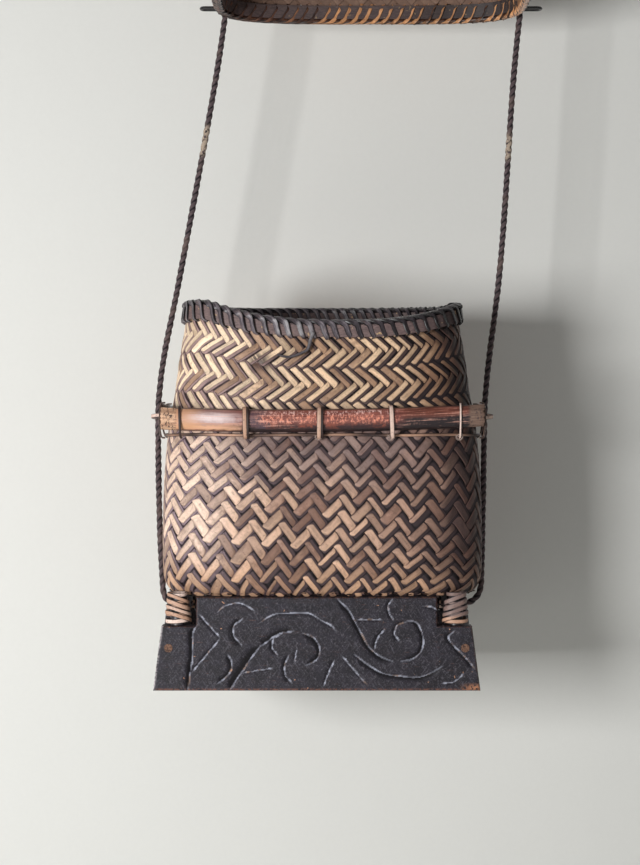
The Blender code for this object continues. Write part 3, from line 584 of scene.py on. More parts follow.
def weave(pointAt, columns, rowCount, slashOver, look, starts=None, lightShare=None, keepAt=None):
    # Two sets of strips, leaning right and left, that pass over and under each other.
    shape = Shape()
    parts = np.array(twill["stations"])
    whole = np.arange(rowCount)
    row = (whole[:, None] + parts).ravel()[:1 - len(parts)]
    change = ease((parts - twill["changeFrom"]) / twill["changeOver"])
    starts = np.arange(0, columns, 2) if starts is None else starts
    for lean in (1, -1):
        begin = starts if lean == 1 else starts + rowCount * (0 if columns else 1)
        crossing = begin[:, None] + lean * whole[None, :]
        over = slashOver(crossing, np.broadcast_to(whole, crossing.shape))
        side = np.where(over == (lean == 1), 1.0, -1.0)
        longer = (side[:, 1:-1] == side[:, :-2]) & (side[:, 1:-1] == side[:, 2:])
        side[:, 1:-1] += longer * side[:, 1:-1] * look["arch"] / look["swing"]
        rises = (side[:, 1:] > 0) & (side[:, :-1] < 0)  # the tone changes under the strip before
        run = np.cumsum(np.concatenate([rises, np.zeros((len(begin), 1), bool)], axis=1), axis=1)
        tones = rng.random((len(begin), rowCount + 1))
        floatTone = np.take_along_axis(tones, run.astype(int), axis=1)
        drift = rng.normal(0, twill["drift"], (len(begin), rowCount))
        drift[:, 1:-1] = (drift[:, :-2] + drift[:, 1:-1] * 2 + drift[:, 2:]) / twill["driftDivisor"]
        drift += rng.normal(0, twill["stripDrift"], (len(begin), 1))
        widths = rng.uniform(*twill["widths"], (len(begin), 1))
        widths = widths * (twill["narrowest"] + twill["toneWidens"] * floatTone)
        shares = np.take_along_axis(rng.normal(0, look["lightSpread"], tones.shape), run.astype(int),
                                    axis=1) + rng.normal(0, twill["stripLight"], (len(begin), 1))

        def spread(values):  # from whole rows to all the stations between them
            later = np.concatenate([values[:, 1:], values[:, -1:]], axis=1)
            mixed = values[..., None] * (1 - change) + later[..., None] * change
            return mixed.reshape(len(values), -1)[:, :len(row)]

        column = begin[:, None] + lean * row[None, :] + spread(drift)
        rows = np.broadcast_to(row, column.shape)
        offset = look["weaveInset"] + look["swing"] * spread(side)
        centre = pointAt(column, rows, offset)
        small = 0.02
        sideways = pointAt(column + small, rows, offset) - pointAt(column - small, rows, offset)
        upward = pointAt(column, rows + small, offset) - pointAt(column, rows - small, offset)
        normal = unit(np.cross(sideways, upward))
        stepX, stepZ = (np.linalg.norm(v, axis=-1) / (2 * small) for v in (sideways, upward))
        pitch = 2 * stepX * stepZ / np.hypot(stepX, stepZ)
        along = unit(np.gradient(centre, axis=1))
        across = unit(np.cross(normal, along))
        up = np.cross(along, across)
        lightPart = twill["plainLight"] if lightShare is None else lightShare(centre)
        lightPart = np.clip(lightPart + spread(shares), *twill["lightLimits"])
        edge = 1 - 2 * lightPart  # the light part's end: the rest is a lower, darker shelf
        places = (1.0, 0.93, 1 - 0.35 * (1 - edge), 1 - 0.75 * (1 - edge), edge, edge - 0.06,
                  -1.0, -0.98, 0.96)
        section = np.zeros(column.shape + (len(places), 2))
        for corner, place in enumerate(places):
            section[..., corner, 0] = place
        section[..., 1] = np.array(twill["corners"])
        half = twill["halfShare"] * pitch * spread(widths)
        points = (centre[..., None, :]
                  + across[..., None, :] * (half[..., None] * section[..., 0])[..., None]
                  + up[..., None, :] * (look["stripThick"] * section[..., 1])[..., None])
        marks = np.zeros(points.shape[:3] + (4,))
        marks[..., 0] = np.array(twill["cornerMarks"])
        under = np.clip(0.34 - 0.9 * spread(np.sign(side)), 0, 1)  # painted shade where another strip lies over it
        marks[..., 0] = np.where(marks[..., 0] > 0, marks[..., 0] * (1 - under[..., None]),
                                 marks[..., 0])
        steps = np.linalg.norm(np.diff(centre, axis=1, prepend=centre[:, :1]), axis=-1)
        marks[..., 1] = np.cumsum(steps, axis=1)[..., None]
        marks[..., 2] = rng.random((len(begin), 1, 1))
        marks[..., 3] = spread(floatTone)[..., None]
        keep = None if keepAt is None else keepAt(centre)
        shape.grid(points, marks, ends=keep is None, keep=keep)
    return shape


def rowLevels(look, bottom):
    levels = [bottom + look["firstRow"]]
    low, high = look["rowsChange"]
    while levels[-1] < bottom + look["height"] - look["topGap"]:
        share = ease((levels[-1] - low) / (high - low))
        levels.append(levels[-1] + look["lowerRow"] * (1 - share) + look["upperRow"] * share)
    return np.array(levels)


def bambooFinish(name, place, forLid):
    finish = Finish(name)
    where, x, _, z = finish.place(place)
    across, along, tone, floatTone = finish.marks()
    ragged = finish.noise(finish.vector(across * 0.1, along * 0.5, tone * 40), 1.0, 3.0)
    fine = finish.noise(finish.vector(across * 6, along * 0.3, tone * 60), 1.0, 4.0, 0.7)
    pores = finish.noise(finish.vector(across * 5, along * 0.9, tone * 60), 1.0, 3.0, 0.7)
    blotch = finish.noise(where, 0.16, 3.0, 0.6)
    cloud = finish.noise(where, 0.035, 2.0, 0.5)
    choice = (floatTone * 7.31 + tone * 3.17) % 1.0
    lightMask = (across + (ragged - 0.5) * 0.05).above(0.45, 0.49)
    if forLid:
        skin = finish.mix(floatTone * 0.6, srgb(188, 152, 124), srgb(140, 108, 88))
        shelf = finish.mix(blotch, srgb(42, 29, 29), srgb(70, 52, 47))
        deep = srgb(20, 13, 14)
    else:
        upper = z.above(168, 176)
        # side runs across the front from left to right. left, right and edge lighten the weave towards the
        # left with painted light and darken it towards the right with painted shade, as light falling from
        # the left does, over some real patina.
        side = (x + (cloud - 0.5) * 50)
        edge, low = side.above(58, 90), 1 - z.above(60, 92)
        right, left = side.above(-10, 78), (1 - side.above(-80, -18)) * (1 - low * 0.8)
        warm = finish.mix(choice.above(0.2, 0.9), srgb(210, 172, 146), srgb(152, 118, 102))
        lowColour = finish.mix(left, warm, srgb(234, 203, 182))
        lowColour = finish.mix(right, lowColour, srgb(172, 137, 119))
        lowColour = finish.mix(low * 0.9, lowColour, srgb(194, 154, 124))
        # a greyer, darker zone below the rod: a painted grey-blue sheen, and painted shade under the rod
        # over some patina
        greySheenAndRodShade = (x - 5).within(-62, 70, 26) * z.within(126, 170, 14) * cloud.above(0.28, 0.52)
        lowColour = finish.mix(greySheenAndRodShade * 0.62, lowColour, srgb(112, 99, 105))
        # painted shade along the right edge of the lower weave
        lowColour = finish.mix(edge * (1 - low * 0.4), lowColour, srgb(80, 62, 59))
        upColour = finish.mix(choice.above(0.45, 0.95), srgb(250, 222, 190), srgb(216, 178, 146))
        # the upper weave darkens towards the right with painted shade, near-black at its right edge
        upColour = finish.mix(side.above(-60, 10) * 0.5, upColour, srgb(216, 174, 134))
        upColour = finish.mix(side.above(36, 78), upColour, srgb(164, 126, 98))
        upColour = finish.mix(side.above(68, 90), upColour, srgb(56, 43, 41))
        skin = finish.mix(upper, lowColour, upColour)
        # the shelves are paler to the left and darker to the right: painted light and shade
        lowShelf = finish.mix(left, srgb(74, 58, 60), srgb(142, 122, 128))
        lowShelf = finish.mix(right, lowShelf, srgb(52, 40, 42))
        upShelf = finish.mix(side.above(-62, -4), srgb(158, 132, 128), srgb(94, 74, 70))
        upShelf = finish.mix(side.above(10, 74), upShelf, srgb(40, 29, 30))
        shelf = finish.mix(upper, lowShelf, upShelf)
        shelf = finish.mix(blotch.above(0.4, 0.7) * 0.45, shelf, srgb(54, 42, 45))
        # the gaps are also lighter to the left: painted light
        deep = finish.mix(left, srgb(22, 14, 18), srgb(52, 40, 48))
        deep = finish.mix(upper * (1 - side.above(-66, -10)), deep, srgb(76, 60, 62))
        hurt = x.within(-41, -29, 4) * z.within(196, 207, 3) * ragged.above(0.35, 0.5)
        skin = finish.mix(hurt * 0.9, skin, srgb(70, 60, 60))
    skin = finish.shade(skin, 0.62 + 0.42 * floatTone + 0.16 * tone)
    brown = (choice * 1.7 + blotch).above(1.62, 1.90)
    skin = finish.mix(brown * 0.5, skin, srgb(108, 76, 64))
    streak = finish.noise(finish.vector(across * 4.2, along * 0.09, tone * 45), 1.0, 3.0, 0.6)
    skin = finish.mix(fine.above(0.42, 0.72) * 0.5, skin, finish.shade(skin, 0.58))
    skin = finish.mix(streak.above(0.48, 0.62) * 0.5, skin, finish.shade(skin, 0.56))
    skin = finish.mix(pores.above(0.56, 0.70) * 0.45, skin, srgb(92, 66, 58))
    skin = finish.mix(blotch.above(0.55, 0.8) * 0.35, skin, srgb(120, 94, 84))
    rim = across.above(0.86, 0.98) + (1 - across.above(0.50, 0.60))
    skin = finish.mix(rim * 0.62, skin, srgb(86, 62, 56))
    shelf = finish.shade(shelf, 0.55 + 0.9 * fine)
    # near-black at the far edge of the shelf and wherever a strip passes under another: painted shade
    shelf = finish.mix(1 - across.above(0.06, 0.20), shelf, deep)
    inner = finish.shade(finish.mix(blotch, srgb(140, 112, 94), srgb(92, 70, 62)),
                         0.7 + 0.4 * fine + 0.15 * tone)
    colour = finish.mix(lightMask, shelf, skin)
    colour = finish.mix(across.above(-0.22, -0.12), inner, colour)
    height = fine * 0.5 + ragged * 0.3 + pores * 0.3
    return finish.done(colour, 0.46 + 0.18 * (1 - lightMask) + 0.14 * blotch,
                       finish.bump(height, 0.7, 0.3), Specular_IOR_Level=0.34)


levels = rowLevels(basket, basketWall.bottom)


def basketSlashOver(column, row):
    band = (row - basket["bandsFrom"]) // basket["band"]
    return np.where(row < basket["bandsFrom"] - 1, column % 4 < 2, band % 2 == 1)


def basketAt(column, row, offset):
    level = np.interp(row, np.arange(len(levels)), levels)
    level = level + (row < 0) * row * basket["lowerRow"]
    height = level - basketWall.bottom
    around = column / basket["columns"] + basket["lean"] * height / basketWall.perimeter
    tilt = ease(height / basket["tiltIn"]) * np.sin(2 * math.pi * around)
    tilt = tilt * (1 - ease((level - basket["tiltFrom"]) / basket["tiltOut"]))
    return basketWall.rowPoint(around, level - basket["rowTilt"] * tilt, offset)


def basketLightShare(point):
    # How much of a strip's width is light: more below the rod and on the left, less at the bottom.
    x, z = point[..., 0], point[..., 2]
    lowest = 1 - ease((z - 66) / 26)
    belowRod = (1 - ease((z - 160) / 12)) * (1 - 0.75 * lowest)
    leftward, rightward = 1 - ease((x + 70) / 60), ease((x - 10) / 50)
    everywhere = (0.66 - 0.08 * ease((x - 20) / 50)) * (1 - 0.14 * lowest)
    return everywhere + belowRod * (0.08 + 0.07 * leftward - 0.06 * rightward)


bambooWall = bambooFinish("bambooWall", bagPlace, False)
bambooLid = bambooFinish("bambooLid", lidPlace, True)

weave(basketAt, basket["columns"], len(levels), basketSlashOver, basket,
      lightShare=basketLightShare).piece(
    "twill_wall", bambooWall, "bag", "bamboo_weave", ["woven_body"], smooth=50)
print("basket wall is woven")


def inOutline(halfX, halfY, squareness, shift=0.0):
    def keep(point):
        return (np.abs((point[..., 0] - shift) / halfX) ** squareness
                + np.abs(point[..., 1] / halfY) ** squareness) < 1
    return keep


def weavePanel(height, halfX, halfY, squareness, shift, look, topAt=None):
    # A flat or crowned panel of the same weave, for the basket's floor and the lid's top.
    step = twill["panelStep"]
    rowCount = int(2 * halfY / step) + twill["panelSpare"]
    reach = int(halfX / step) + 2
    first = -rowCount // 2

    def pointAt(column, row, offset):
        x, y = shift + column * step, (row + first) * step
        top = height if topAt is None else topAt(x - shift, y)
        return np.stack([x + 0 * y, y + 0 * x, top + offset + 0 * x], axis=-1)

    span = reach + rowCount
    starts = np.arange(-span, span + 1, 2)
    return weave(pointAt, 0, rowCount, lambda column, row: column % 4 < 2, look, starts=starts,
                 keepAt=inOutline(halfX, halfY, squareness, shift))


floorHalfX, floorHalfY, floorSquare = basketWall.half(basket["floorAt"], -basket["floorInset"])
weavePanel(basketWall.bottom + basket["floorLift"], float(floorHalfX), float(floorHalfY), float(floorSquare),
           basket["shift"], dict(basket, weaveInset=0.0)).piece(
    "twill_floor", bambooWall, "bag", "bamboo_weave", smooth=50)


def lidTopAt(x, y):
    halfX, halfY = lid["width"] / 2, lid["depth"] / 2
    shares = np.array(lid["profile"])[-4:]
    size = ((np.abs(x) / halfX) ** lid["squareness"]
            + (np.abs(y) / halfY) ** lid["squareness"]) ** (1 / lid["squareness"])
    mean = shares[:, 1:].mean(axis=1)
    return lid["height"] * np.interp(size, mean[::-1], shares[::-1, 0]) + lid["topLift"]


def lidAt(column, row, offset):
    height = lid["firstRow"] + row * lid["row"]
    return lidWall.point(column / lid["columns"], np.minimum(height, lid["shoulder"]), offset)


lidRows = int((lid["lastRow"] - lid["firstRow"]) / lid["row"]) + 1
weave(lidAt, lid["columns"], lidRows, lambda column, row: column % 4 < 2, lid).piece(
    "lid_twill_wall", bambooLid, "lid", "bamboo_weave", ["lid_shell"], lidPlace, smooth=50)
lidTopX, lidTopY, _ = lidWall.half(lid["topShare"] * lid["height"], lid["topOut"])
weavePanel(lid["height"], float(lidTopX), float(lidTopY), lid["squareness"], 0.0,
           dict(lid, weaveInset=0.0), lidTopAt).piece(
    "lid_twill_top", bambooLid, "lid", "bamboo_weave", place=lidPlace, smooth=50)
print("lid is woven")


# Rims: hoops, and one lacing that wraps them and lies over the top as a braid

rim = {
    "pitch": 7.0, "hoopHigh": 8.8, "hoopThick": 2.0, "gap": 0.3, "braid": 5.0, "laceStep": 1.4,
    "clear": 0.35, "faceTurn": 4.0, "coreShare": 0.92, "coreLevel": 0.20, "coreHigh": 0.36,
    "coreRings": 361, "lengthShare": 0.87, "lidSlim": 0.5, "lidDive": -0.3,
}


def darkRattanFinish(name, warmAndLitOnRight):
    finish = Finish(name)
    where, x, _, _ = finish.place(bagPlace)
    across, along, tone, _ = finish.marks()
    grain = finish.noise(finish.vector(across * 14, along * 0.3, tone * 50), 1.0, 3.0, 0.6)
    patch = finish.noise(where, 0.22, 3.0)
    # near-black along both sides of each wrap: painted shadow beside the wraps
    edge = abs(across - 0.5).above(0.33, 0.45)
    level = 0.5 + 0.65 * tone
    if warmAndLitOnRight:
        colour = finish.mix(patch.above(0.35, 0.6), srgb(66, 42, 36), srgb(112, 74, 56))
        # bright gold over the right half of the lid's lacing: painted light, as light from the left falls
        # there; the warm brown under it is the lacing's own colour
        paintedLitGold = finish.mix(grain.above(0.3, 0.7), srgb(226, 168, 116), srgb(164, 108, 72))
        colour = finish.mix(x.above(-28, 18) * (tone + patch * 0.8).above(0.5, 0.8), colour, paintedLitGold)
    else:
        colour = finish.mix(grain.above(0.25, 0.75), srgb(40, 34, 40), srgb(108, 99, 105))
        colour = finish.mix(patch.above(0.55, 0.7) * 0.35, colour, srgb(122, 102, 96))
        # a painted highlight along the middle of each strip, on the left of the rim only
        paintedHighlight = across.within(0.30, 0.46, 0.10) * grain.above(0.38, 0.55) * (1 - x.above(10, 70))
        colour = finish.mix(paintedHighlight * 0.45, colour, srgb(168, 160, 164))
        # darker towards the right: painted shade
        level = level * (1 - 0.5 * x.above(24, 92))
    colour = finish.shade(finish.mix(edge * 0.95, colour, srgb(14, 11, 15)), level)
    return finish.done(colour, 0.30 + 0.2 * grain, finish.bump(grain, 0.4, 0.2),
                       Specular_IOR_Level=0.5)


def hoopFinish(name, level):
    finish = Finish(name)
    where, x, _, _ = finish.place(bagPlace)
    flat = finish.node("ShaderNodeVectorMath", {"operation": "MULTIPLY"}, where, (1.0, 1.0, 6.0))
    grain = finish.noise(flat, 0.35, 4.0, 0.65)
    pale = finish.noise(where, 0.33, 2.0, 0.6).above(0.64, 0.70)
    colour = finish.mix(grain.above(0.3, 0.7), srgb(84, 69, 69), srgb(124, 103, 100))
    # darker towards the right: painted shade
    colour = finish.mix(x.above(50, 88) * 0.6, colour, srgb(40, 31, 31))
    colour = finish.shade(finish.mix(pale * 0.8, colour, srgb(196, 164, 122)), level)
    return finish.done(colour, 0.55, finish.bump(grain, 0.5, 0.3), Specular_IOR_Level=0.4)


darkRattan, lidRattan = darkRattanFinish("darkRattan", False), darkRattanFinish("lidRattan", True)
# the lid's hoops take the same finish at half brightness: painted shade
hoopRattan, lidHoop = hoopFinish("hoopRattan", 1.0), hoopFinish("lidHoop", 0.5)


def followRim(wall, height, reverse):
    # Gives a point on a rim from millimetres along it, out from the wall's outside, and up.
    def at(along, out, up):
        around = along / wall.perimeter
        return wall.point(around, height - up if reverse else height + up, out)
    return at


def lace(shape, at, count, perimeter, outer, inner, hoop, braid, slim, dive):
    # Each lace wraps the hoops upwards on the outside, lies along the rim and dives inside.
    # slim thins it, and dive is how far it stands off the inner hoop.
    pitch = perimeter / count
    face, middle = outer + rim["clear"] * slim, (outer + inner) / 2
    # along, out, up, half width, thickness
    steps = ((3.4, 0.2, -hoop - 1.5, 1.1, 0.4), (3.0, face * 0.92, -hoop - 0.5, 1.4, 0.5),
             (2.0, face, -hoop * 0.78, 1.65, 0.6), (1.0, face + 0.05, -hoop * 0.45, 1.75, 0.65),
             (0.4, face + 0.05, -hoop * 0.18, 1.8, 0.7), (-0.6, face + 0.1, braid * 0.04, 2.0, 0.8),
             (-2.6, face - 0.1, braid * 0.22, 2.2, 0.85), (-5.2, face - 0.8, braid * 0.38, 2.2, 0.85),
             (-8.0, face - 1.7, braid * 0.46, 2.0, 0.8), (-10.8, middle + 0.8, braid * 0.48, 1.9, 0.75),
             (-13.6, middle - 0.9, braid * 0.46, 1.8, 0.75), (-16.4, inner + 0.5, braid * 0.36, 1.6, 0.7),
             (-18.8, inner - 0.3 * dive, braid * 0.06, 1.5, 0.5),
             (-20.8, inner - 0.5 * dive, -hoop * 0.35, 1.5, 0.5),
             (-22.6, inner - 0.35 * dive, -hoop * 0.8, 1.4, 0.45),
             (-23.4, inner + 1.9, -hoop - 1.3, 1.2, 0.4))
    table = smoothCurve(steps, rim["laceStep"])
    for number in range(count):
        along = number * pitch + rng.normal(0, 0.4) + table[:, 0]
        path = at(along, table[:, 1], table[:, 2] * (1 + rng.normal(0, 0.03)))
        lying = ease((-table[:, 0] - 1.0) / 3.0) * (1 - ease((-table[:, 0] - 14.5) / 3.0))
        core = at(along, np.full_like(along, middle),
                  np.minimum(table[:, 2], braid * rim["coreLevel"]) - rim["faceTurn"] * lying)
        addStrip(shape, path, path - core, table[:, 3] * rng.uniform(0.92, 1.06),
                 table[:, 4] * slim, rng.random())


def makeRim(name, finish, wall, height, count, body, place, replaced, outer, inner, hoop, braid,
            reverse, slim=1.0, dive=1.0):
    shape = Shape()
    at = followRim(wall, height, reverse)
    lace(shape, at, count, wall.perimeter, outer, inner, hoop, braid, slim, dive)
    core = np.linspace(0, wall.perimeter, rim["coreRings"])
    section = roundSection(10)
    middle, reach = (outer + inner) / 2, (outer - inner) / 2
    ringed = np.stack([at(core, middle + reach * rim["coreShare"] * out,
                          braid * (rim["coreLevel"] + rim["coreHigh"] * up))
                       for out, up in section], axis=1)
    marks = np.zeros(ringed.shape[:2] + (4,))
    marks[..., 0] = 0.5
    marks[..., 1] = core[:, None]
    shape.grid(ringed[None], marks[None])
    shape.piece(name, finish, body, "dark_rattan", replaced, place, smooth=55)


rimOuter = rim["gap"] + rim["hoopThick"]
rimInner = -basket["wall"] - rimOuter
basketLaces = round(basketWall.perimeter * rim["lengthShare"] / rim["pitch"])
makeRim("rim_lacing", darkRattan, basketWall, basket["height"], basketLaces, "bag", bagPlace,
        ["rim_braid"], rimOuter, rimInner, rim["hoopHigh"], rim["braid"], False)
for node in ("rim_outer_hoop", "rim_inner_hoop"):
    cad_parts[node].data.materials[0] = hoopRattan

lidOuter = lid["wall"] + rim["gap"] + lid["hoopThick"]
lidInner = -rim["gap"] - lid["hoopThick"]
lidBraid = lid["profile"][0][0] * lid["height"]
makeRim("lid_rim_lacing", lidRattan, lidWall, lidBraid, round(lidWall.perimeter / rim["pitch"]),
        "lid", lidPlace, ["lid_braid"], lidOuter, lidInner, rim["hoopHigh"], lidBraid, True,
        rim["lidSlim"], rim["lidDive"])
for node in ("lid_outer_hoop", "lid_inner_hoop"):
    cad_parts[node].data.materials[0] = lidHoop
for node in ("lid_left_loop", "lid_right_loop"):
    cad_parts[node].data.materials[0] = darkRattan
print("rims are laced")


# Waist rods of split bamboo, the cane under them, their ties and the strap's keepers

rod = {
    "level": 165.3, "tilt": 1.0, "sag": 2.2, "reach": 99.0, "high": 14.0, "thick": 6.4,
    "sideThick": 4.6, "sideLift": 3.4, "canePlace": 8.8, "caneRadius": 0.95, "corners": 22,
    "keeperCane": 1.8, "keeperHalfGap": 3.4, "strapBack": 43.0,
    # across from the middle, half width, thickness, tone, knot under it
    "frontTies": ((-83.5, 0.75, 0.6, 0.0, False), (-43.9, 1.35, 0.8, 0.75, False),
                  (1.4, 1.40, 0.8, 0.8, True), (45.8, 1.40, 0.8, 0.9, True),
                  (87.6, 0.60, 0.6, 1.0, True)),
    # a thin dark strip beside some front ties stands for their shadow
    "shadowStripTies": (2, 3), "shadowStripHalf": 0.55, "shadowStripShift": 2.0,
    "backTies": ((-81.2, 0.9, 0.7, 0.6, False), (-38.8, 1.35, 0.8, 0.7, True),
                 (3.5, 1.35, 0.8, 0.85, False), (45.8, 1.3, 0.8, 0.7, True),
                 (88.2, 0.9, 0.7, 0.8, False)),
}


def splitBambooFinish():
    finish = Finish("splitBamboo")
    down, along, side, end = finish.marks()
    fibre = finish.noise(finish.vector(along * 0.05, down * 24, side * 9), 1.0, 4.0, 0.6)
    cloud = finish.noise(finish.vector(along * 0.10, down * 3, side * 5), 1.0, 4.0, 0.65)
    grit = finish.noise(finish.vector(along * 0.9, down * 9, side * 5), 1.0, 3.0, 0.75)
    wander = (cloud - 0.5) * 26
    place = along + wander
    left, right = 1 - place.above(-64, -38), place.above(42, 58)
    shade = down + (fibre - 0.5) * 0.3 + (cloud - 0.5) * 0.2
    colour = finish.mix(fibre.above(0.3, 0.7), srgb(98, 52, 46), srgb(156, 92, 80))
    colour = finish.mix(shade.above(0.48, 0.66), colour, finish.mix(cloud.above(0.45, 0.6),
                                                                   srgb(52, 30, 33),
                                                                   srgb(132, 68, 52)))
    smooth = place.within(-42, -30, 3)
    colour = finish.mix(smooth * 0.8, colour, srgb(74, 60, 70))
    tan = finish.mix(shade.above(0.54, 0.70), srgb(150, 112, 106), srgb(216, 166, 132))
    tan = finish.mix((1 - along.above(-78, -66)) * 0.8, tan, srgb(204, 152, 114))
    colour = finish.mix(left, colour, tan)
    # a painted highlight where the light glances off the rod's left part
    sheen = left * along.above(-84, -66) * shade.within(0.30, 0.54, 0.10)
    colour = finish.mix(sheen * (0.35 + fibre), colour, srgb(234, 216, 214))
    rightTone = finish.mix(fibre.above(0.3, 0.7), srgb(76, 42, 36), srgb(138, 78, 62))
    rightTone = finish.mix(shade.above(0.40, 0.54), rightTone, srgb(32, 21, 25))
    colour = finish.mix(right, colour, rightTone)
    speckle = grit.above(0.51, 0.57) * place.within(-34, 46, 4)
    lower = (down + wander * 0.008 + (grit - 0.5) * 0.3).above(0.30, 0.42)
    speckle = speckle * (down + wander * 0.008).within(0.20, 0.58, 0.07)
    colour = finish.mix(speckle * 0.85, colour, finish.mix(lower, srgb(236, 194, 184),
                                                           srgb(228, 146, 120)))
    streak = (fibre + grit * 0.3).above(0.68, 0.78) * (1 - place.within(-10, 46, 6))
    colour = finish.mix(streak * 0.5, colour, srgb(214, 160, 142))
    # darker along the rod's lower part: painted shade on its underside
    under = (down + (cloud - 0.5) * 0.4 + (fibre - 0.5) * 0.25 - left * 0.1).above(0.69, 0.79)
    colour = finish.mix(under * 0.92, colour, finish.mix(left * 0.8, srgb(28, 19, 22),
                                                         srgb(106, 68, 60)))
    # dark along the rod's top edge: painted shade
    crown = 1 - (down + (fibre - 0.5) * 0.12).above(0.08, 0.18)
    colour = finish.mix(crown * 0.85, colour, srgb(30, 20, 22))
    raw = finish.mix(fibre.above(0.3, 0.7), srgb(222, 182, 150), srgb(148, 108, 84))
    raw = finish.mix(grit.above(0.52, 0.60), raw, srgb(66, 47, 43))
    raw = finish.mix(along.above(60, 85) * 0.8, raw, srgb(78, 62, 58))
    cut = (end + (grit - 0.5) * 0.4 + (fibre - 0.5) * 0.9).above(0.35, 0.65)
    colour = finish.mix(cut, colour, raw)
    # the side rods, whose side mark is 0.9, turn dark brown: painted shade
    colour = finish.mix(side.above(0.6, 0.8), colour, finish.mix(fibre, srgb(40, 28, 26),
                                                                 srgb(86, 58, 44)))
    rough = 0.26 + 0.25 * fibre + 0.4 * end
    return finish.done(colour, rough, finish.bump(fibre + grit * 0.7, 0.6, 0.35),
                       Specular_IOR_Level=0.5)


def paleRattanFinish():
    finish = Finish("paleRattan")
    _, x, _, z = finish.place(bagPlace)
    across, along, tone, _ = finish.marks()
    grain = finish.noise(finish.vector(across * 9, along * 0.25, tone * 60), 1.0, 4.0, 0.6)
    spots = finish.noise(finish.vector(across * 2, along * 0.6, tone * 31), 1.0, 3.0, 0.6)
    colour = finish.mix(tone.above(0.1, 0.6), srgb(42, 30, 30), srgb(186, 146, 122))
    colour = finish.mix(tone.above(0.72, 1.0) * 0.85, colour, srgb(238, 214, 202))
    colour = finish.mix(grain.above(0.45, 0.85) * 0.6, colour, srgb(120, 86, 70))
    colour = finish.mix(spots.above(0.56, 0.7) * 0.55, colour, srgb(84, 60, 54))
    # near-black along both edges of each strip: painted shade where it meets what it lies on
    colour = finish.mix(abs(across - 0.5).above(0.30, 0.46) * 0.94, colour, srgb(30, 20, 22))
    # darker and greyer towards the right, low down where the lashings are: painted shade
    paintedRightShade = x.above(40, 80) * z.within(45, 84, 1.5)
    colour = finish.mix(paintedRightShade * 0.75, colour, finish.mix(tone, srgb(64, 54, 57), srgb(112, 98, 100)))
    return finish.done(colour, 0.45 + 0.2 * grain, finish.bump(grain, 0.45, 0.2),
                       Specular_IOR_Level=0.42)


splitBamboo, paleRattan = splitBambooFinish(), paleRattanFinish()


def rodLevel(x):
    share = (x - basket["shift"]) / rod["reach"]
    return rod["level"] + rod["tilt"] * share + rod["sag"] * share * share


def whittled(along):  # the side rods get thinner towards the front
    return 1 - 0.68 * ease((10 - along) / 62)


def makeRod(node, facing, sideways):
    low, high = localBox(node)
    axis = 1 if sideways else 0
    flat = (low[1 - axis] if facing > 0 else high[1 - axis])
    thick = rod["sideThick"] if sideways else rod["thick"]
    start, stop = low[axis], high[axis]
    along = np.concatenate([start + np.array([0.25, 0.6, 1.2, 2.0, 3.0]),
                            np.linspace(start + 4.5, stop - 4.5, 90),
                            stop - np.array([3.0, 2.0, 1.2, 0.6, 0.25])])
    turn = np.linspace(math.pi / 2, -math.pi / 2, rod["corners"])
    fromEnd = np.minimum(along - start, stop - along)[:, None]
    bare = 1 - ease((fromEnd - 5) / 9)
    coarse = rng.normal(0, 1, (len(along), rod["corners"]))
    lengthwise = rng.normal(0, 1, (1, rod["corners"]))
    out = thick * np.cos(turn)[None] ** 0.7
    if sideways:
        out = out * whittled(along)[:, None]
    ragged = 1 + 0.035 * lengthwise * (0.3 + bare) + 0.03 * coarse * bare
    ragged = np.minimum(ragged - 0.05 * bare - 0.10 * (1 - ease(fromEnd / 2.2)), 1.0)
    outward = out * ragged
    upward = rod["high"] / 2 * np.sin(turn)[None] * (1 - 0.03 * bare + 0.02 * bare * lengthwise)
    ends = rng.normal(0, 0.55, (2, rod["corners"]))
    shift = (ends[0] * (1 - ease((along[:, None] - start) / 4))
             + ends[1] * (1 - ease((stop - along[:, None]) / 4)))
    placed = np.clip(along[:, None] + shift, start, stop)
    level = rodLevel(along)[:, None] if not sideways else (low[2] + high[2]) / 2
    across = flat + facing * np.maximum(outward, 0)
    level = level + upward
    points = np.stack([across, placed, level] if sideways else [placed, across, level], axis=-1)
    marks = np.zeros(points.shape[:2] + (4,))
    marks[..., 0] = np.linspace(0, 1, rod["corners"])
    marks[..., 1] = along[:, None] if not sideways else along[:, None] * 0.6 - 70
    # 0.9 marks the side rods for their dark brown of painted shade
    marks[..., 2] = 0.9 if sideways else 0.3 + 0.2 * facing
    marks[..., 3] = bare
    shape = Shape()
    shape.grid(points[None], marks[None], ends=True)
    shape.piece("split_" + node, splitBamboo, "bag", "split_bamboo", [node], smooth=45)
    return flat


frontFlat = makeRod("front_rod", -1, False)
backFlat = makeRod("back_rod", 1, False)
leftFlat = makeRod("left_rod", -1, True)
rightFlat = makeRod("right_rod", 1, True)


def makeCane():
    shape = Shape()
    count = 240
    around = np.linspace(0, 1, count + 1)
    wave = 0.25 * np.sin(around * 60) + 0.18 * np.sin(around * 37 + 1)
    height = rod["level"] - rod["canePlace"] - basketWall.bottom
    path = basketWall.point(around, height + wave * 0.6, rod["caneRadius"] + 0.3)
    path[-1] = path[0]
    outward = unit(basketWall.point(around, height, 5.0) - basketWall.point(around, height, 0.0))
    section = roundSection(8)
    up = np.broadcast_to(np.array([0.0, 0, 1]), path.shape)
    ringed = rings(path, up, outward, section, rod["caneRadius"], rod["caneRadius"] * 0.95)
    tone = (0.34 + 0.26 * np.sin(around * 23) * np.sin(around * 71 + 1))[:, None]
    marks = lineMarks(path, section, 0.5)
    marks[..., 2] = tone
    shape.grid(ringed[None], marks[None])
    shape.piece("under_rod_cane", paleRattan, "bag", "pale_rattan", ["waist_cane"], smooth=60)


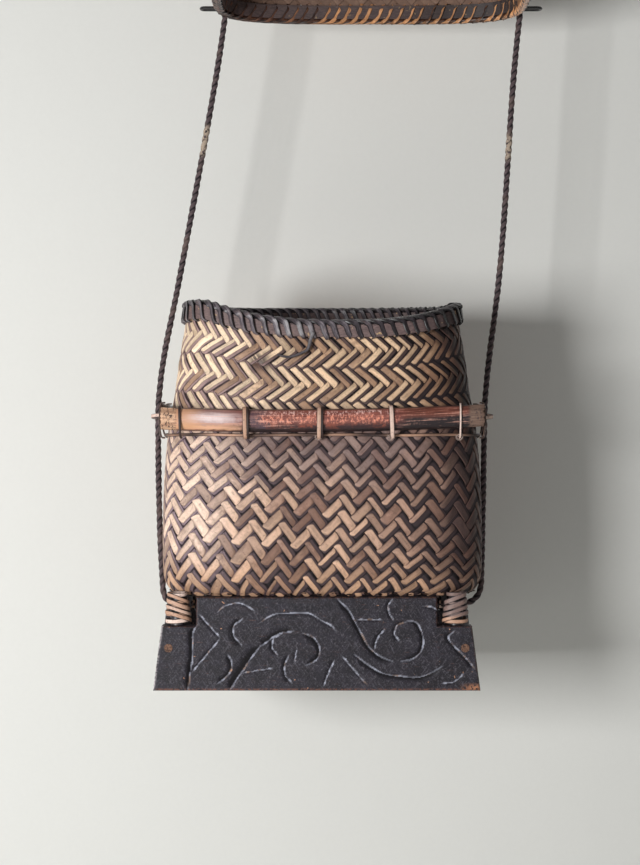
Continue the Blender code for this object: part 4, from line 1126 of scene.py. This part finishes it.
def tiePath(flat, thick, level):
    top = level + rod["high"] / 2 + 0.75
    bottom = rod["level"] - rod["canePlace"] - rod["caneRadius"] - 0.75
    turn = np.linspace(math.pi / 2, -math.pi / 2, 25)
    out = flat + (thick + 0.65) * np.cos(turn).clip(0) ** 0.5
    up = (top + bottom) / 2 + (top - bottom) / 2 * np.sin(turn)
    out[[0, -1]] = flat - 0.6
    return out, up


def makeTies(stem, ties, facing, flat, thick, levelAt, sideways):
    def toBag(place, out, up):
        across, along = facing * out, place + 0 * out
        return np.stack([across, along, up] if sideways else [along, across, up], axis=-1)

    for number, (place, half, tieThick, tone, knotted) in enumerate(ties, 1):
        shape = Shape()
        local = thick * whittled(place) if sideways else thick
        out, up = tiePath(abs(flat), local, levelAt(place))
        lean = rng.normal(0, 0.35) * np.linspace(1, -1, len(out))
        path = toBag(place + lean, out, up)
        middle = toBag(place, np.full_like(out, abs(flat)), np.full_like(up, np.mean(up)))
        addStrip(shape, path, path - middle, half, tieThick, tone)
        # a thin dark strip beside ties 2 and 3 on the front: painted shadow
        if stem == "front" and number in rod["shadowStripTies"]:
            shadowStrip = toBag(place + lean * 0.5 + rod["shadowStripShift"], out, up)
            addStrip(shape, shadowStrip, path - middle, rod["shadowStripHalf"], tieThick * 0.9, 0.0)
        if knotted:  # a loose end that loops out under the cane
            turns = np.linspace(0, 1.7 * math.pi, 22)
            size = 1.9
            loop = toBag(place + size * np.sin(turns) - 0.4,
                           abs(flat) + 2.9 + 0.5 * np.cos(turns * 0.5),
                           up[-1] + 0.6 + size * np.cos(turns))
            addTube(shape, loop, 0.42 + 0 * turns, min(tone + 0.15, 1.0), sides=8)
            lump = toBag(place + np.linspace(-1.6, 1.7, 9),
                           abs(flat) + 2.9 + 0.3 * np.sin(np.linspace(0, math.pi, 9)),
                           up[-1] + 1.6 + np.linspace(-0.6, 0.7, 9))
            addTube(shape, lump, 0.75 * np.sin(np.linspace(0.25, math.pi - 0.25, 9)) + 0.15,
                    tone, sides=8)
        node = stem + "_tie_" + str(number)
        shape.piece("rattan_" + node, paleRattan, "bag", "pale_rattan", [node], smooth=50)


def makeKeeper(side, facing):
    # A flat strip that comes out of the side rod, round the strap and back.
    node = side + "_strap_keeper"
    low, high = localBox(node)
    level = (low[2] + high[2]) / 2
    face = high[0] if facing < 0 else low[0]
    reach = abs((low[0] if facing < 0 else high[0]) - face)
    gap, radius = rod["keeperHalfGap"], rod["keeperCane"] / 2
    bend = reach - radius - gap
    turn = np.linspace(0, math.pi, 15)
    out = np.concatenate([[-0.8, 0.8], bend + gap * np.sin(turn), [0.8, -0.8]])
    back = np.concatenate([[-gap, -gap], -gap * np.cos(turn), [gap, gap]])
    slope = np.linspace(-0.9, 0.9, len(out)) * facing
    path = np.stack([face + facing * out, rod["strapBack"] + back, level + slope], axis=1)
    middle = np.stack([face + facing * np.minimum(out, bend), rod["strapBack"] + 0 * back,
                       level + 0 * back], axis=1)
    shape = Shape()
    addStrip(shape, path, path - middle, 1.3, 0.55, 0.92)
    shape.piece("rattan_" + node, paleRattan, "bag", "pale_rattan", [node], smooth=50)


makeCane()
makeTies("front", rod["frontTies"], -1, frontFlat, rod["thick"], rodLevel, False)
makeTies("back", rod["backTies"], 1, backFlat, rod["thick"], rodLevel, False)
sideLevel = rod["level"] + rod["sideLift"]
for side, facing, flat in (("left", -1, leftFlat), ("right", 1, rightFlat)):
    ties = []
    for number in (1, 2):
        low, high = localBox(side + "_tie_" + str(number))
        ties.append(((low[1] + high[1]) / 2, 1.3, 0.7, 0.7, False))
    makeTies(side, ties, facing, flat, rod["sideThick"], lambda place: sideLevel, True)
    makeKeeper(side, facing)
print("waist is tied")


# Base boards with their carving, pegs, legs and lashings

base = {
    "halfWidth": 100.2, "sideDraft": 7.2, "halfDepth": 57.5, "frontDraft": 4.0, "thick": 12.0,
    "notchWide": 19.0, "notchDeep": 17.7, "sideNotch": 10.0, "grid": 0.55, "edgeRound": 1.3,
    "sideEdgeGap": 0.3, "sideGrid": 1.0, "sideRound": 0.9, "holeReach": 3.4,
}
# Each stroke: width of its long slope, depth, then its points across and up the front board.
# The long slope lies to the left of the direction of travel.
carving = (
    (3.6, 1.7, ((-79.2, 0.0), (-77.4, 12.2), (-76.1, 22.6), (-75.5, 37.0), (-73.2, 40.5))),
    (1.6, 0.8, ((-59.6, 32.4), (-66.4, 39.8), (-72.5, 46.5))),
    (1.6, 0.8, ((-76.5, 11.6), (-68.2, 21.4), (-59.6, 31.8))),
    (1.3, 0.6, ((-37.9, 47.7), (-45.6, 52.6), (-56.0, 51.4), (-61.5, 47.1))),
    (3.2, 1.1, ((-46.2, 27.5), (-51.1, 33.9), (-51.1, 39.1), (-45.6, 44.0))),
    (3.4, 1.2, ((-60.6, 4.9), (-54.7, 9.5), (-52.0, 15.9), (-54.7, 22.0))),
    (6.0, 1.6, ((-53.5, 0.5), (-45.6, 12.2), (-40.0, 20.5), (-34.6, 27.5))),
    (1.6, 0.7, ((-26.6, 13.5), (-35.8, 12.2), (-45.6, 10.4))),
    (1.5, 0.7, ((11.9, 35.5), (8.9, 39.1), (3.4, 42.2), (-4.0, 46.5), (-13.1, 47.1),
                (-26.6, 45.9), (-36.1, 40.4))),
    (4.0, 1.3, ((-34.6, 27.5), (-29.0, 31.0), (-26.6, 33.0), (-20.5, 35.5), (-14.4, 36.1))),
    (2.2, 1.0, ((-24.2, 21.4), (-27.5, 26.5), (-26.6, 31.8), (-21.5, 35.0))),
    (3.4, 1.4, ((-6.4, 15.9), (0.3, 19.6), (1.5, 25.7), (-1.2, 31.2), (-8.9, 34.9))),
    (1.2, 0.6, ((-13.8, 17.7), (-12.5, 25.1))),
    (2.6, 1.1, ((-15.6, 4.9), (-19.3, 9.5), (-19.9, 15.3), (-17.4, 21.4))),
    (1.8, 0.8, ((4.0, 3.1), (7.0, 11.0), (10.7, 19.0))),
    (3.4, 1.4, ((46.2, 17.7), (40.7, 19.6), (31.5, 26.9), (26.6, 35.5), (23.5, 41.6),
                (20.5, 47.1), (12.5, 56.0))),
    (1.6, 0.8, ((40.1, 42.8), (32.1, 43.1), (24.2, 42.8))),
    (2.4, 1.0, ((35.2, 25.7), (37.0, 31.8), (41.6, 37.9))),
    (2.4, 1.0, ((46.8, 42.8), (44.3, 47.1), (43.7, 52.0), (46.2, 55.7))),
    (3.0, 1.3, ((51.7, 18.3), (58.4, 19.6), (62.7, 22.6), (65.1, 30.0), (64.2, 35.5),
                (60.2, 41.6), (55.4, 42.2))),
    (2.0, 1.0, ((50.2, 30.0), (47.4, 34.9), (49.2, 39.8), (55.4, 42.2))),
    (1.8, 0.8, ((77.4, 38.5), (76.1, 45.9), (72.5, 49.8), (65.1, 51.4))),
    (3.2, 1.2, ((76.8, 14.7), (70.0, 10.4), (61.5, 8.0), (51.1, 8.6), (40.7, 10.4),
                (31.5, 15.3), (22.9, 22.0))),
    (1.4, 0.6, ((90.2, 10.4), (84.7, 5.5), (76.1, 4.3))),
    (1.2, 0.5, ((30.9, 3.1), (22.9, 12.2), (15.0, 21.4))),
    (2.6, 1.2, ((96.5, 13.1), (91.4, 19.6), (84.7, 26.3), (80.4, 33.0), (84.1, 36.5))),
)


def halfWidthAt(up):
    return base["halfWidth"] - base["sideDraft"] * up / boardTop


def halfDepthAt(up):
    return base["halfDepth"] - base["frontDraft"] * up / boardTop


def cutInto(x, up, strokes, mirror):
    # Depth of the carving, and how much of its lit steep face is at each point.
    depth, lit = np.zeros_like(x), np.zeros_like(x)
    for wide, deep, stroke in strokes:
        line = smoothCurve(stroke, 0.5)
        if mirror:
            line = line * [-1, 1]
        near = ((x > line[:, 0].min() - wide - 1) & (x < line[:, 0].max() + wide + 1)
                & (up > line[:, 1].min() - wide - 1) & (up < line[:, 1].max() + wide + 1))
        if not near.any():
            continue
        px, pu = x[near], up[near]
        gap = np.hypot(px[:, None] - line[:, 0], pu[:, None] - line[:, 1])
        closest = gap.argmin(axis=1)
        distance = gap.min(axis=1)
        way = unit(np.gradient(line, axis=0))[closest]
        side = way[:, 0] * (pu - line[closest, 1]) - way[:, 1] * (px - line[closest, 0])
        side = side * (-1 if mirror else 1)
        along = closest / (len(line) - 1)
        taper = np.clip(np.minimum(along, 1 - along) * 6 + 0.25, 0, 1)
        steep = 0.58 + 0.22 * np.sin(along * 17)
        reach = np.where(side > 0, wide * taper, steep)
        share = np.clip(1 - distance / np.maximum(reach, 0.05), 0, 1)
        here = deep * taper * np.where(side > 0, share ** 1.4, share)
        onFace = (side <= 0.12) & (distance < steep + 0.1)
        depth[near] = np.maximum(depth[near], here)
        lit[near] = np.maximum(lit[near], onFace * taper * (1 - 0.6 * np.sin(along * 13 + wide) ** 2))
    return depth, lit


def carvedWoodFinish():
    finish = Finish("carvedWood")
    where, x, y, z = finish.place(bagPlace)
    lit, worn, depth, _ = finish.marks()
    grain = finish.noise(finish.vector(x * 0.05, y * 0.4, z * 0.5), 1.0, 4.0, 0.6)
    dust = finish.noise(where, 0.75, 2.0, 0.75).above(0.56, 0.72)
    smear = finish.noise(where, 0.11, 4.0, 0.6)
    scratch = finish.noise(finish.vector(x * 0.9 + z * 0.6, y, z * 0.12 - x * 0.1), 1.0, 3.0, 0.6)
    rag = finish.noise(where, 0.7, 3.0, 0.6)
    flecks = finish.noise(where, 1.2, 2.0, 0.7).above(0.54, 0.70)
    colour = finish.mix(smear.above(0.35, 0.7), srgb(21, 18, 25), srgb(38, 35, 44))
    colour = finish.mix(grain.above(0.5, 0.8) * 0.45, colour, srgb(49, 38, 40))
    crossed = finish.noise(finish.vector(x * 1.1 - z * 0.9, y, (x + z) * 0.08), 1.0, 2.0, 0.6)
    rust = finish.noise(finish.vector(x * 0.14, y * 0.3, z * 1.0), 1.0, 3.0, 0.6)
    colour = finish.mix(scratch.above(0.54, 0.72) * 0.42, colour, srgb(88, 85, 95))
    colour = finish.mix(crossed.above(0.56, 0.72) * 0.42, colour, srgb(86, 82, 90))
    colour = finish.mix(rust.above(0.64, 0.72) * 0.38, colour, srgb(104, 72, 64))
    colour = finish.mix(flecks * 0.28, colour, srgb(112, 108, 118))
    colour = finish.mix(dust * 0.32, colour, srgb(120, 114, 122))
    # near-black in the carved hollows: painted shade
    colour = finish.mix(depth.above(0.05, 0.6) * 0.9, colour, srgb(11, 8, 12))
    face = finish.mix(smear.above(0.53, 0.63), srgb(164, 166, 180), srgb(140, 118, 106))
    colour = finish.mix(lit * rag.above(0.26, 0.46) * 0.92, colour, face)
    nearFace = (abs(y) + z * 0.069).above(55.3, 56.3)
    chipped = worn * rag.above(0.44, 0.58) * (0.15 + 0.85 * nearFace)
    leftEdge = (1 - (x - z * 0.126).above(-99.2, -98.2)) * (1 - z.above(38, 42))
    footEdge = (1 - z.above(0.5, 2.2)) * rag.above(0.42, 0.56) * (1 - leftEdge)
    wornColour = finish.mix(leftEdge, srgb(122, 82, 64), srgb(214, 205, 208))
    colour = finish.mix(chipped * (0.55 + 0.45 * leftEdge), colour, wornColour)
    corner = x.above(86, 97) * (1 - z.above(1.5, 5.5))
    colour = finish.mix(corner * rag.above(0.4, 0.5), colour, srgb(172, 118, 86))
    colour = finish.mix(footEdge * 0.6, colour, srgb(128, 84, 68))
    orange = finish.noise(where, 0.36, 1.0, 0.4).above(0.775, 0.79)
    colour = finish.mix(orange * 0.8, colour, srgb(186, 138, 108))
    return finish.done(colour, 0.50 + 0.2 * smear + 0.15 * lit,
                       finish.bump(grain * 0.6 + rag * 0.5 + scratch * 0.4, 0.45, 0.3),
                       Specular_IOR_Level=0.32)


carvedWood = carvedWoodFinish()


def boardFace(xLines, upLines, xAt, inBoard, strokes, mirror, yAt, facing):
    # Front grid of a board: rows are heights, columns run across.
    across, up = np.meshgrid(xLines, upLines)
    x = xAt(across, up)
    depth, lit = cutInto(x, up, strokes, mirror)
    edge = base["edgeRound"]
    gap = inBoard(x, up)
    wear = np.clip(1 - gap / edge, 0, 1)
    rounding = edge - np.sqrt(np.maximum(edge ** 2 - (edge * wear) ** 2, 0))
    depth = np.minimum(depth + rounding, base["thick"] / 3)
    y = facing * (yAt(up) - depth)
    # the third mark is the carving's depth, which the finish paints near-black as shade
    marks = np.stack([lit, ease(wear * 1.4 - 0.25), np.clip(depth / 1.5, 0, 1) * (wear < 0.1),
                      0 * lit], axis=-1)
    return np.stack([x, y, up], axis=-1), marks


def makeLongBoard(node, facing, strokes, mirror):
    notchLevel = boardTop - base["notchDeep"]
    notchX = halfWidthAt(boardTop) - base["notchWide"]
    size = base["grid"]
    middle = np.linspace(-notchX, notchX, int(2 * notchX / size) + 1)
    wing = np.linspace(0, 1, int(base["notchWide"] / size) + 1)[1:]
    lower = np.linspace(0, notchLevel, int(notchLevel / size) + 1)
    upper = np.linspace(notchLevel, boardTop, int(base["notchDeep"] / size) + 1)[1:]
    columns = np.concatenate([-1 - wing[::-1], middle / notchX, 1 + wing])
    up = np.concatenate([lower, upper])

    def xAt(place, height):
        outer = halfWidthAt(height) - notchX
        wingPart = np.clip(np.abs(place) - 1, 0, 1)
        return np.sign(place) * (np.clip(np.abs(place), 0, 1) * notchX + wingPart * outer)

    def gapToEdge(x, height):
        sides = halfWidthAt(height) - np.abs(x)
        high = np.where(np.abs(x) < notchX, boardTop - height, notchLevel - height)
        inner = np.where(height > notchLevel, notchX - np.abs(x), 99)
        corner = np.where((height <= notchLevel) & (np.abs(x) < notchX),
                          np.hypot(notchX - np.abs(x), notchLevel - height), 99)
        return np.maximum(np.minimum.reduce([sides, height + 0 * x, high, inner, corner]), 0)

    points, marks = boardFace(columns, up, xAt, gapToEdge, strokes, mirror, halfDepthAt, facing)
    inside = (np.abs(columns)[None, :] <= 1 + 1e-6) | (up[:, None] <= notchLevel + 1e-6)

    def toBack(edge):  # moves points of the face's edge to the board's inside
        cut = halfDepthAt(edge[:, 2:3]) - np.abs(edge[:, 1:2])
        return edge - np.array([0, facing, 0]) * (base["thick"] - cut)

    finishBoard(node, points, marks, inside, toBack)


def finishBoard(node, points, marks, inside, toBack):
    rows, columns = points.shape[:2]
    index = np.arange(rows * columns).reshape(rows, columns)
    cells = inside[:-1, :-1] & inside[1:, 1:] & inside[:-1, 1:] & inside[1:, :-1]
    quads = np.stack([index[:-1, :-1], index[:-1, 1:], index[1:, 1:], index[1:, :-1]],
                     axis=-1)[cells]
    flat, flatMarks = points.reshape(-1, 3), marks.reshape(-1, 4)
    edges = {}
    for quad in quads.tolist():
        for first, second in zip(quad, quad[1:] + quad[:1]):
            if (second, first) in edges:
                del edges[(second, first)]
            else:
                edges[(first, second)] = True
    following = {first: second for first, second in edges}
    start = next(iter(following))
    loop = [start]
    while following[loop[-1]] != start:
        loop.append(following[loop[-1]])
    back = toBack(flat[loop])
    shape = Shape()
    shape.points = [flat, back]
    shape.marks = [flatMarks, flatMarks[loop]]
    offset = len(flat)
    shape.faces = quads.tolist()
    count = len(loop)
    for number in range(count):
        after = (number + 1) % count
        shape.faces.append([loop[after], loop[number], offset + number, offset + after])
    shape.faces.append([offset + number for number in reversed(range(count))])
    shape.piece("carved_" + node, carvedWood, "bag", "dark_wood", [node], smooth=32)


def makeSideBoard(node, facing):
    notchLevel = boardTop - base["notchDeep"]

    def reach(up):
        return halfDepthAt(up) - base["thick"] - base["sideEdgeGap"]

    notchY = reach(boardTop) - base["sideNotch"]
    size = base["sideGrid"]
    middle = np.linspace(-1, 1, int(2 * notchY / size) + 1)
    wing = np.linspace(0, 1, int(base["sideNotch"] / size) + 1)[1:]
    lower = np.linspace(0, notchLevel, int(notchLevel / size) + 1)
    upper = np.linspace(notchLevel, boardTop, int(base["notchDeep"] / size) + 1)[1:]
    columns = np.concatenate([-1 - wing[::-1], middle, 1 + wing])
    up = np.concatenate([lower, upper])

    def yAcross(place, height):
        outer = reach(height) - notchY
        wingPart = np.clip(np.abs(place) - 1, 0, 1)
        return np.sign(place) * (np.clip(np.abs(place), 0, 1) * notchY + wingPart * outer)

    across, height = np.meshgrid(columns, up)
    y = yAcross(across, height)
    low, high = height, np.where(np.abs(y) < notchY, boardTop - height, notchLevel - height)
    wear = np.clip(1 - np.maximum(np.minimum(low, high), 0) / base["edgeRound"], 0, 1)
    hole = np.hypot(y - strap["route"][0][1], height - (boardTop + strap["route"][0][2]))
    x = facing * (halfWidthAt(height) - base["sideRound"] * wear ** 2)
    # near-black round the strap's end: painted shade of a hole, as the board has no hole cut there
    marks = np.stack([0 * y, ease(wear), 0.9 * (hole < base["holeReach"]), 0 * y], axis=-1)
    points = np.stack([x, y, height], axis=-1)
    inside = (np.abs(columns)[None, :] <= 1 + 1e-6) | (up[:, None] <= notchLevel + 1e-6)
    order = slice(None, None, -1) if facing < 0 else slice(None)
    finishBoard(node, points[:, order], marks[:, order], inside[:, order],
                lambda edge: np.stack([facing * (halfWidthAt(edge[:, 2]) - base["thick"]),
                                       edge[:, 1], edge[:, 2]], axis=-1))


makeLongBoard("base_front_board", -1, carving, False)
makeLongBoard("base_back_board", 1, carving, True)
makeSideBoard("base_left_board", -1)
makeSideBoard("base_right_board", 1)


def pegFinish():
    finish = Finish("pegWood")
    where = finish.place(bagPlace)[0]
    spots = finish.noise(where, 1.1, 3.0, 0.6)
    colour = finish.mix(spots.above(0.35, 0.65), srgb(66, 46, 38), srgb(124, 92, 74))
    return finish.done(colour, 0.7, finish.bump(spots, 0.6, 0.3), Specular_IOR_Level=0.3)


pegWood = pegFinish()
for end in ("front", "back"):
    for side in ("left", "right"):
        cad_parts[end + "_" + side + "_peg"].data.materials[0] = pegWood


lashing = {"turns": 5, "half": 1.4, "thick": 0.75, "overHalf": 1.4, "squareness": 2.7,
           "narrowing": 0.24, "crossings": 4, "above": 4.0}


def makeLeg(corner):
    low, high = localBox(corner + "_leg")
    middle, radius = (low + high) / 2, (high[0] - low[0]) / 2
    shape = Shape()
    up = np.linspace(low[2], high[2], 14)
    turn = 2 * math.pi * np.arange(20) / 20
    bulge = 1 - 0.03 * rng.random((1, 20)) - 0.02 * np.sin(up * 0.8)[:, None] ** 2
    points = np.stack([middle[0] + radius * bulge * np.cos(turn),
                       middle[1] + radius * bulge * np.sin(turn),
                       up[:, None] + 0 * turn], axis=-1)
    marks = np.zeros(points.shape[:2] + (4,))
    marks[..., 0], marks[..., 1], marks[..., 2] = 0.5, up[:, None], 0.1
    shape.grid(points[None], marks[None], ends=True)
    shape.piece("bamboo_" + corner + "_leg", darkRattan, "bag", "split_bamboo",
                [corner + "_leg"], smooth=45)


def makeLashing(corner, facing, hand):
    # Flat turns round the leg, and slanted turns that cross over them on the outside.
    low, high = localBox(corner + "_lashing")
    middle = (low + high) / 2
    reach = (high[0] - low[0]) / 2
    shape = Shape()
    bottom = low[2] + lashing["half"] + 0.3
    top = high[2] - lashing["half"] - 0.3 + lashing["above"]

    def around(direction, level, size):
        square = lashing["squareness"]
        outline = (np.abs(np.cos(direction)) ** square
                   + np.abs(np.sin(direction)) ** square) ** (-1 / square)
        narrow = 1 - lashing["narrowing"] * ease((level - bottom) / (top - bottom))
        size = size * outline * narrow
        return np.stack([middle[0] + size * np.cos(direction),
                         middle[1] + size * np.sin(direction), level], axis=1)

    turn = np.linspace(0, 2 * math.pi, 61)
    for number in range(lashing["turns"]):
        level = bottom + (top - bottom) * number / (lashing["turns"] - 1)
        wave = 0.8 * np.sin(turn + rng.uniform(0, 6)) + rng.normal(0, 0.35)
        path = around(turn, np.clip(level + wave, bottom, top), reach - 3.0)
        addStrip(shape, path, path - np.stack([middle[0] + 0 * turn, middle[1] + 0 * turn,
                                               path[:, 2]], axis=1),
                 lashing["half"] * rng.uniform(0.7, 1.05), lashing["thick"], rng.uniform(0.2, 1.0))
    for number in range(lashing["crossings"]):
        share = np.linspace(0, 1, 31)
        sweep = (share - 0.42 + rng.normal(0, 0.04)) * 1.25 * math.pi
        direction = facing * (math.pi / 2 + sweep * hand)
        start = top - (top - bottom - 5.5) * number / (lashing["crossings"] - 1)
        level = np.clip(start - 5.8 * ease((share - 0.12) / 0.76), bottom, top)
        lift = np.sin(np.clip(share, 0.02, 0.98) * math.pi) ** 0.4
        path = around(direction, level, reach - 3.2 + 1.7 * lift)
        centre = np.stack([middle[0] + 0 * level, middle[1] + 0 * level, level], axis=1)
        addStrip(shape, path, path - centre, lashing["overHalf"] * rng.uniform(0.8, 1.1),
                 lashing["thick"], rng.uniform(0.35, 1.0))
    shape.piece("rattan_" + corner + "_lashing", paleRattan, "bag", "pale_rattan",
                [corner + "_lashing"], smooth=50)


for end, facing in (("front", -1), ("back", 1)):
    for side, hand in (("left", -1), ("right", 1)):
        makeLeg(end + "_" + side)
        makeLashing(end + "_" + side, facing, hand)
print("base is carved and lashed")


# A broken wrap that hangs from the rim over the weave

def onFront(x, up, out):  # a point on the front of the basket's wall
    halfX, halfY, square = basketWall.half(up - basketWall.bottom, 0.0)
    y = -halfY * (1 - np.abs((x - basket["shift"]) / halfX) ** square) ** (1 / square)
    return np.stack([x, y - out, up], axis=-1)


strandLine = smoothCurve(((-2.2, 219.5, 3.0), (-3.7, 215.5, 2.2), (-5.8, 209.0, 1.7),
                          (-10.8, 206.3, 1.5), (-17.8, 204.4, 1.3), (-24.5, 206.0, 0.9)), 1.2)
strandPath = onFront(*strandLine.T)
strand = Shape()
addStrip(strand, strandPath, np.broadcast_to([0.0, -1.0, 0.3], strandPath.shape),
         np.linspace(1.2, 0.7, len(strandPath)), 0.35, 0.2)
strand.piece("loose_wrap", darkRattan, "bag", "dark_rattan", smooth=50)
print("loose wrap hangs")


# Stage and the closing lines

def makeStage():
    material = backdropFinish()
    reach, wallAt, floorAt = backdrop["reach"], backdrop["wallAt"], backdrop["floorAt"]
    for name, corners in (
            ("wall", ((-reach, wallAt, floorAt), (reach, wallAt, floorAt), (reach, wallAt, reach),
                      (-reach, wallAt, reach))),
            ("floor", ((-reach, -reach, floorAt), (reach, -reach, floorAt),
                       (reach, reach, floorAt), (-reach, reach, floorAt)))):
        mesh = bpy.data.meshes.new("studio_" + name)
        mesh.from_pydata([toRow(corner) for corner in corners], [], [(0, 1, 2, 3)])
        mesh.materials.append(material)
        made = bpy.data.objects.new("studio_" + name, mesh)
        bpy.context.scene.collection.objects.link(made)
    sky = Finish("sky", bpy.data.worlds.new("sky"))
    white = (1.0, 1.0, 1.0)
    shining = sky.node("ShaderNodeBackground", {}, white, light["sky"])
    seen = sky.node("ShaderNodeBackground", {}, white, light["skySeen"])
    cameraRay = sky.node("ShaderNodeLightPath")
    shown = sky.node("ShaderNodeMixShader", {}, cameraRay, shining, seen)
    sky.tree.links.new(shown.socket, sky.tree.nodes["World Output"].inputs[0])
    bpy.context.scene.world = sky.material


makeStage()
bpy.context.scene.view_settings.view_transform = "Standard"
print("all pieces are in place")
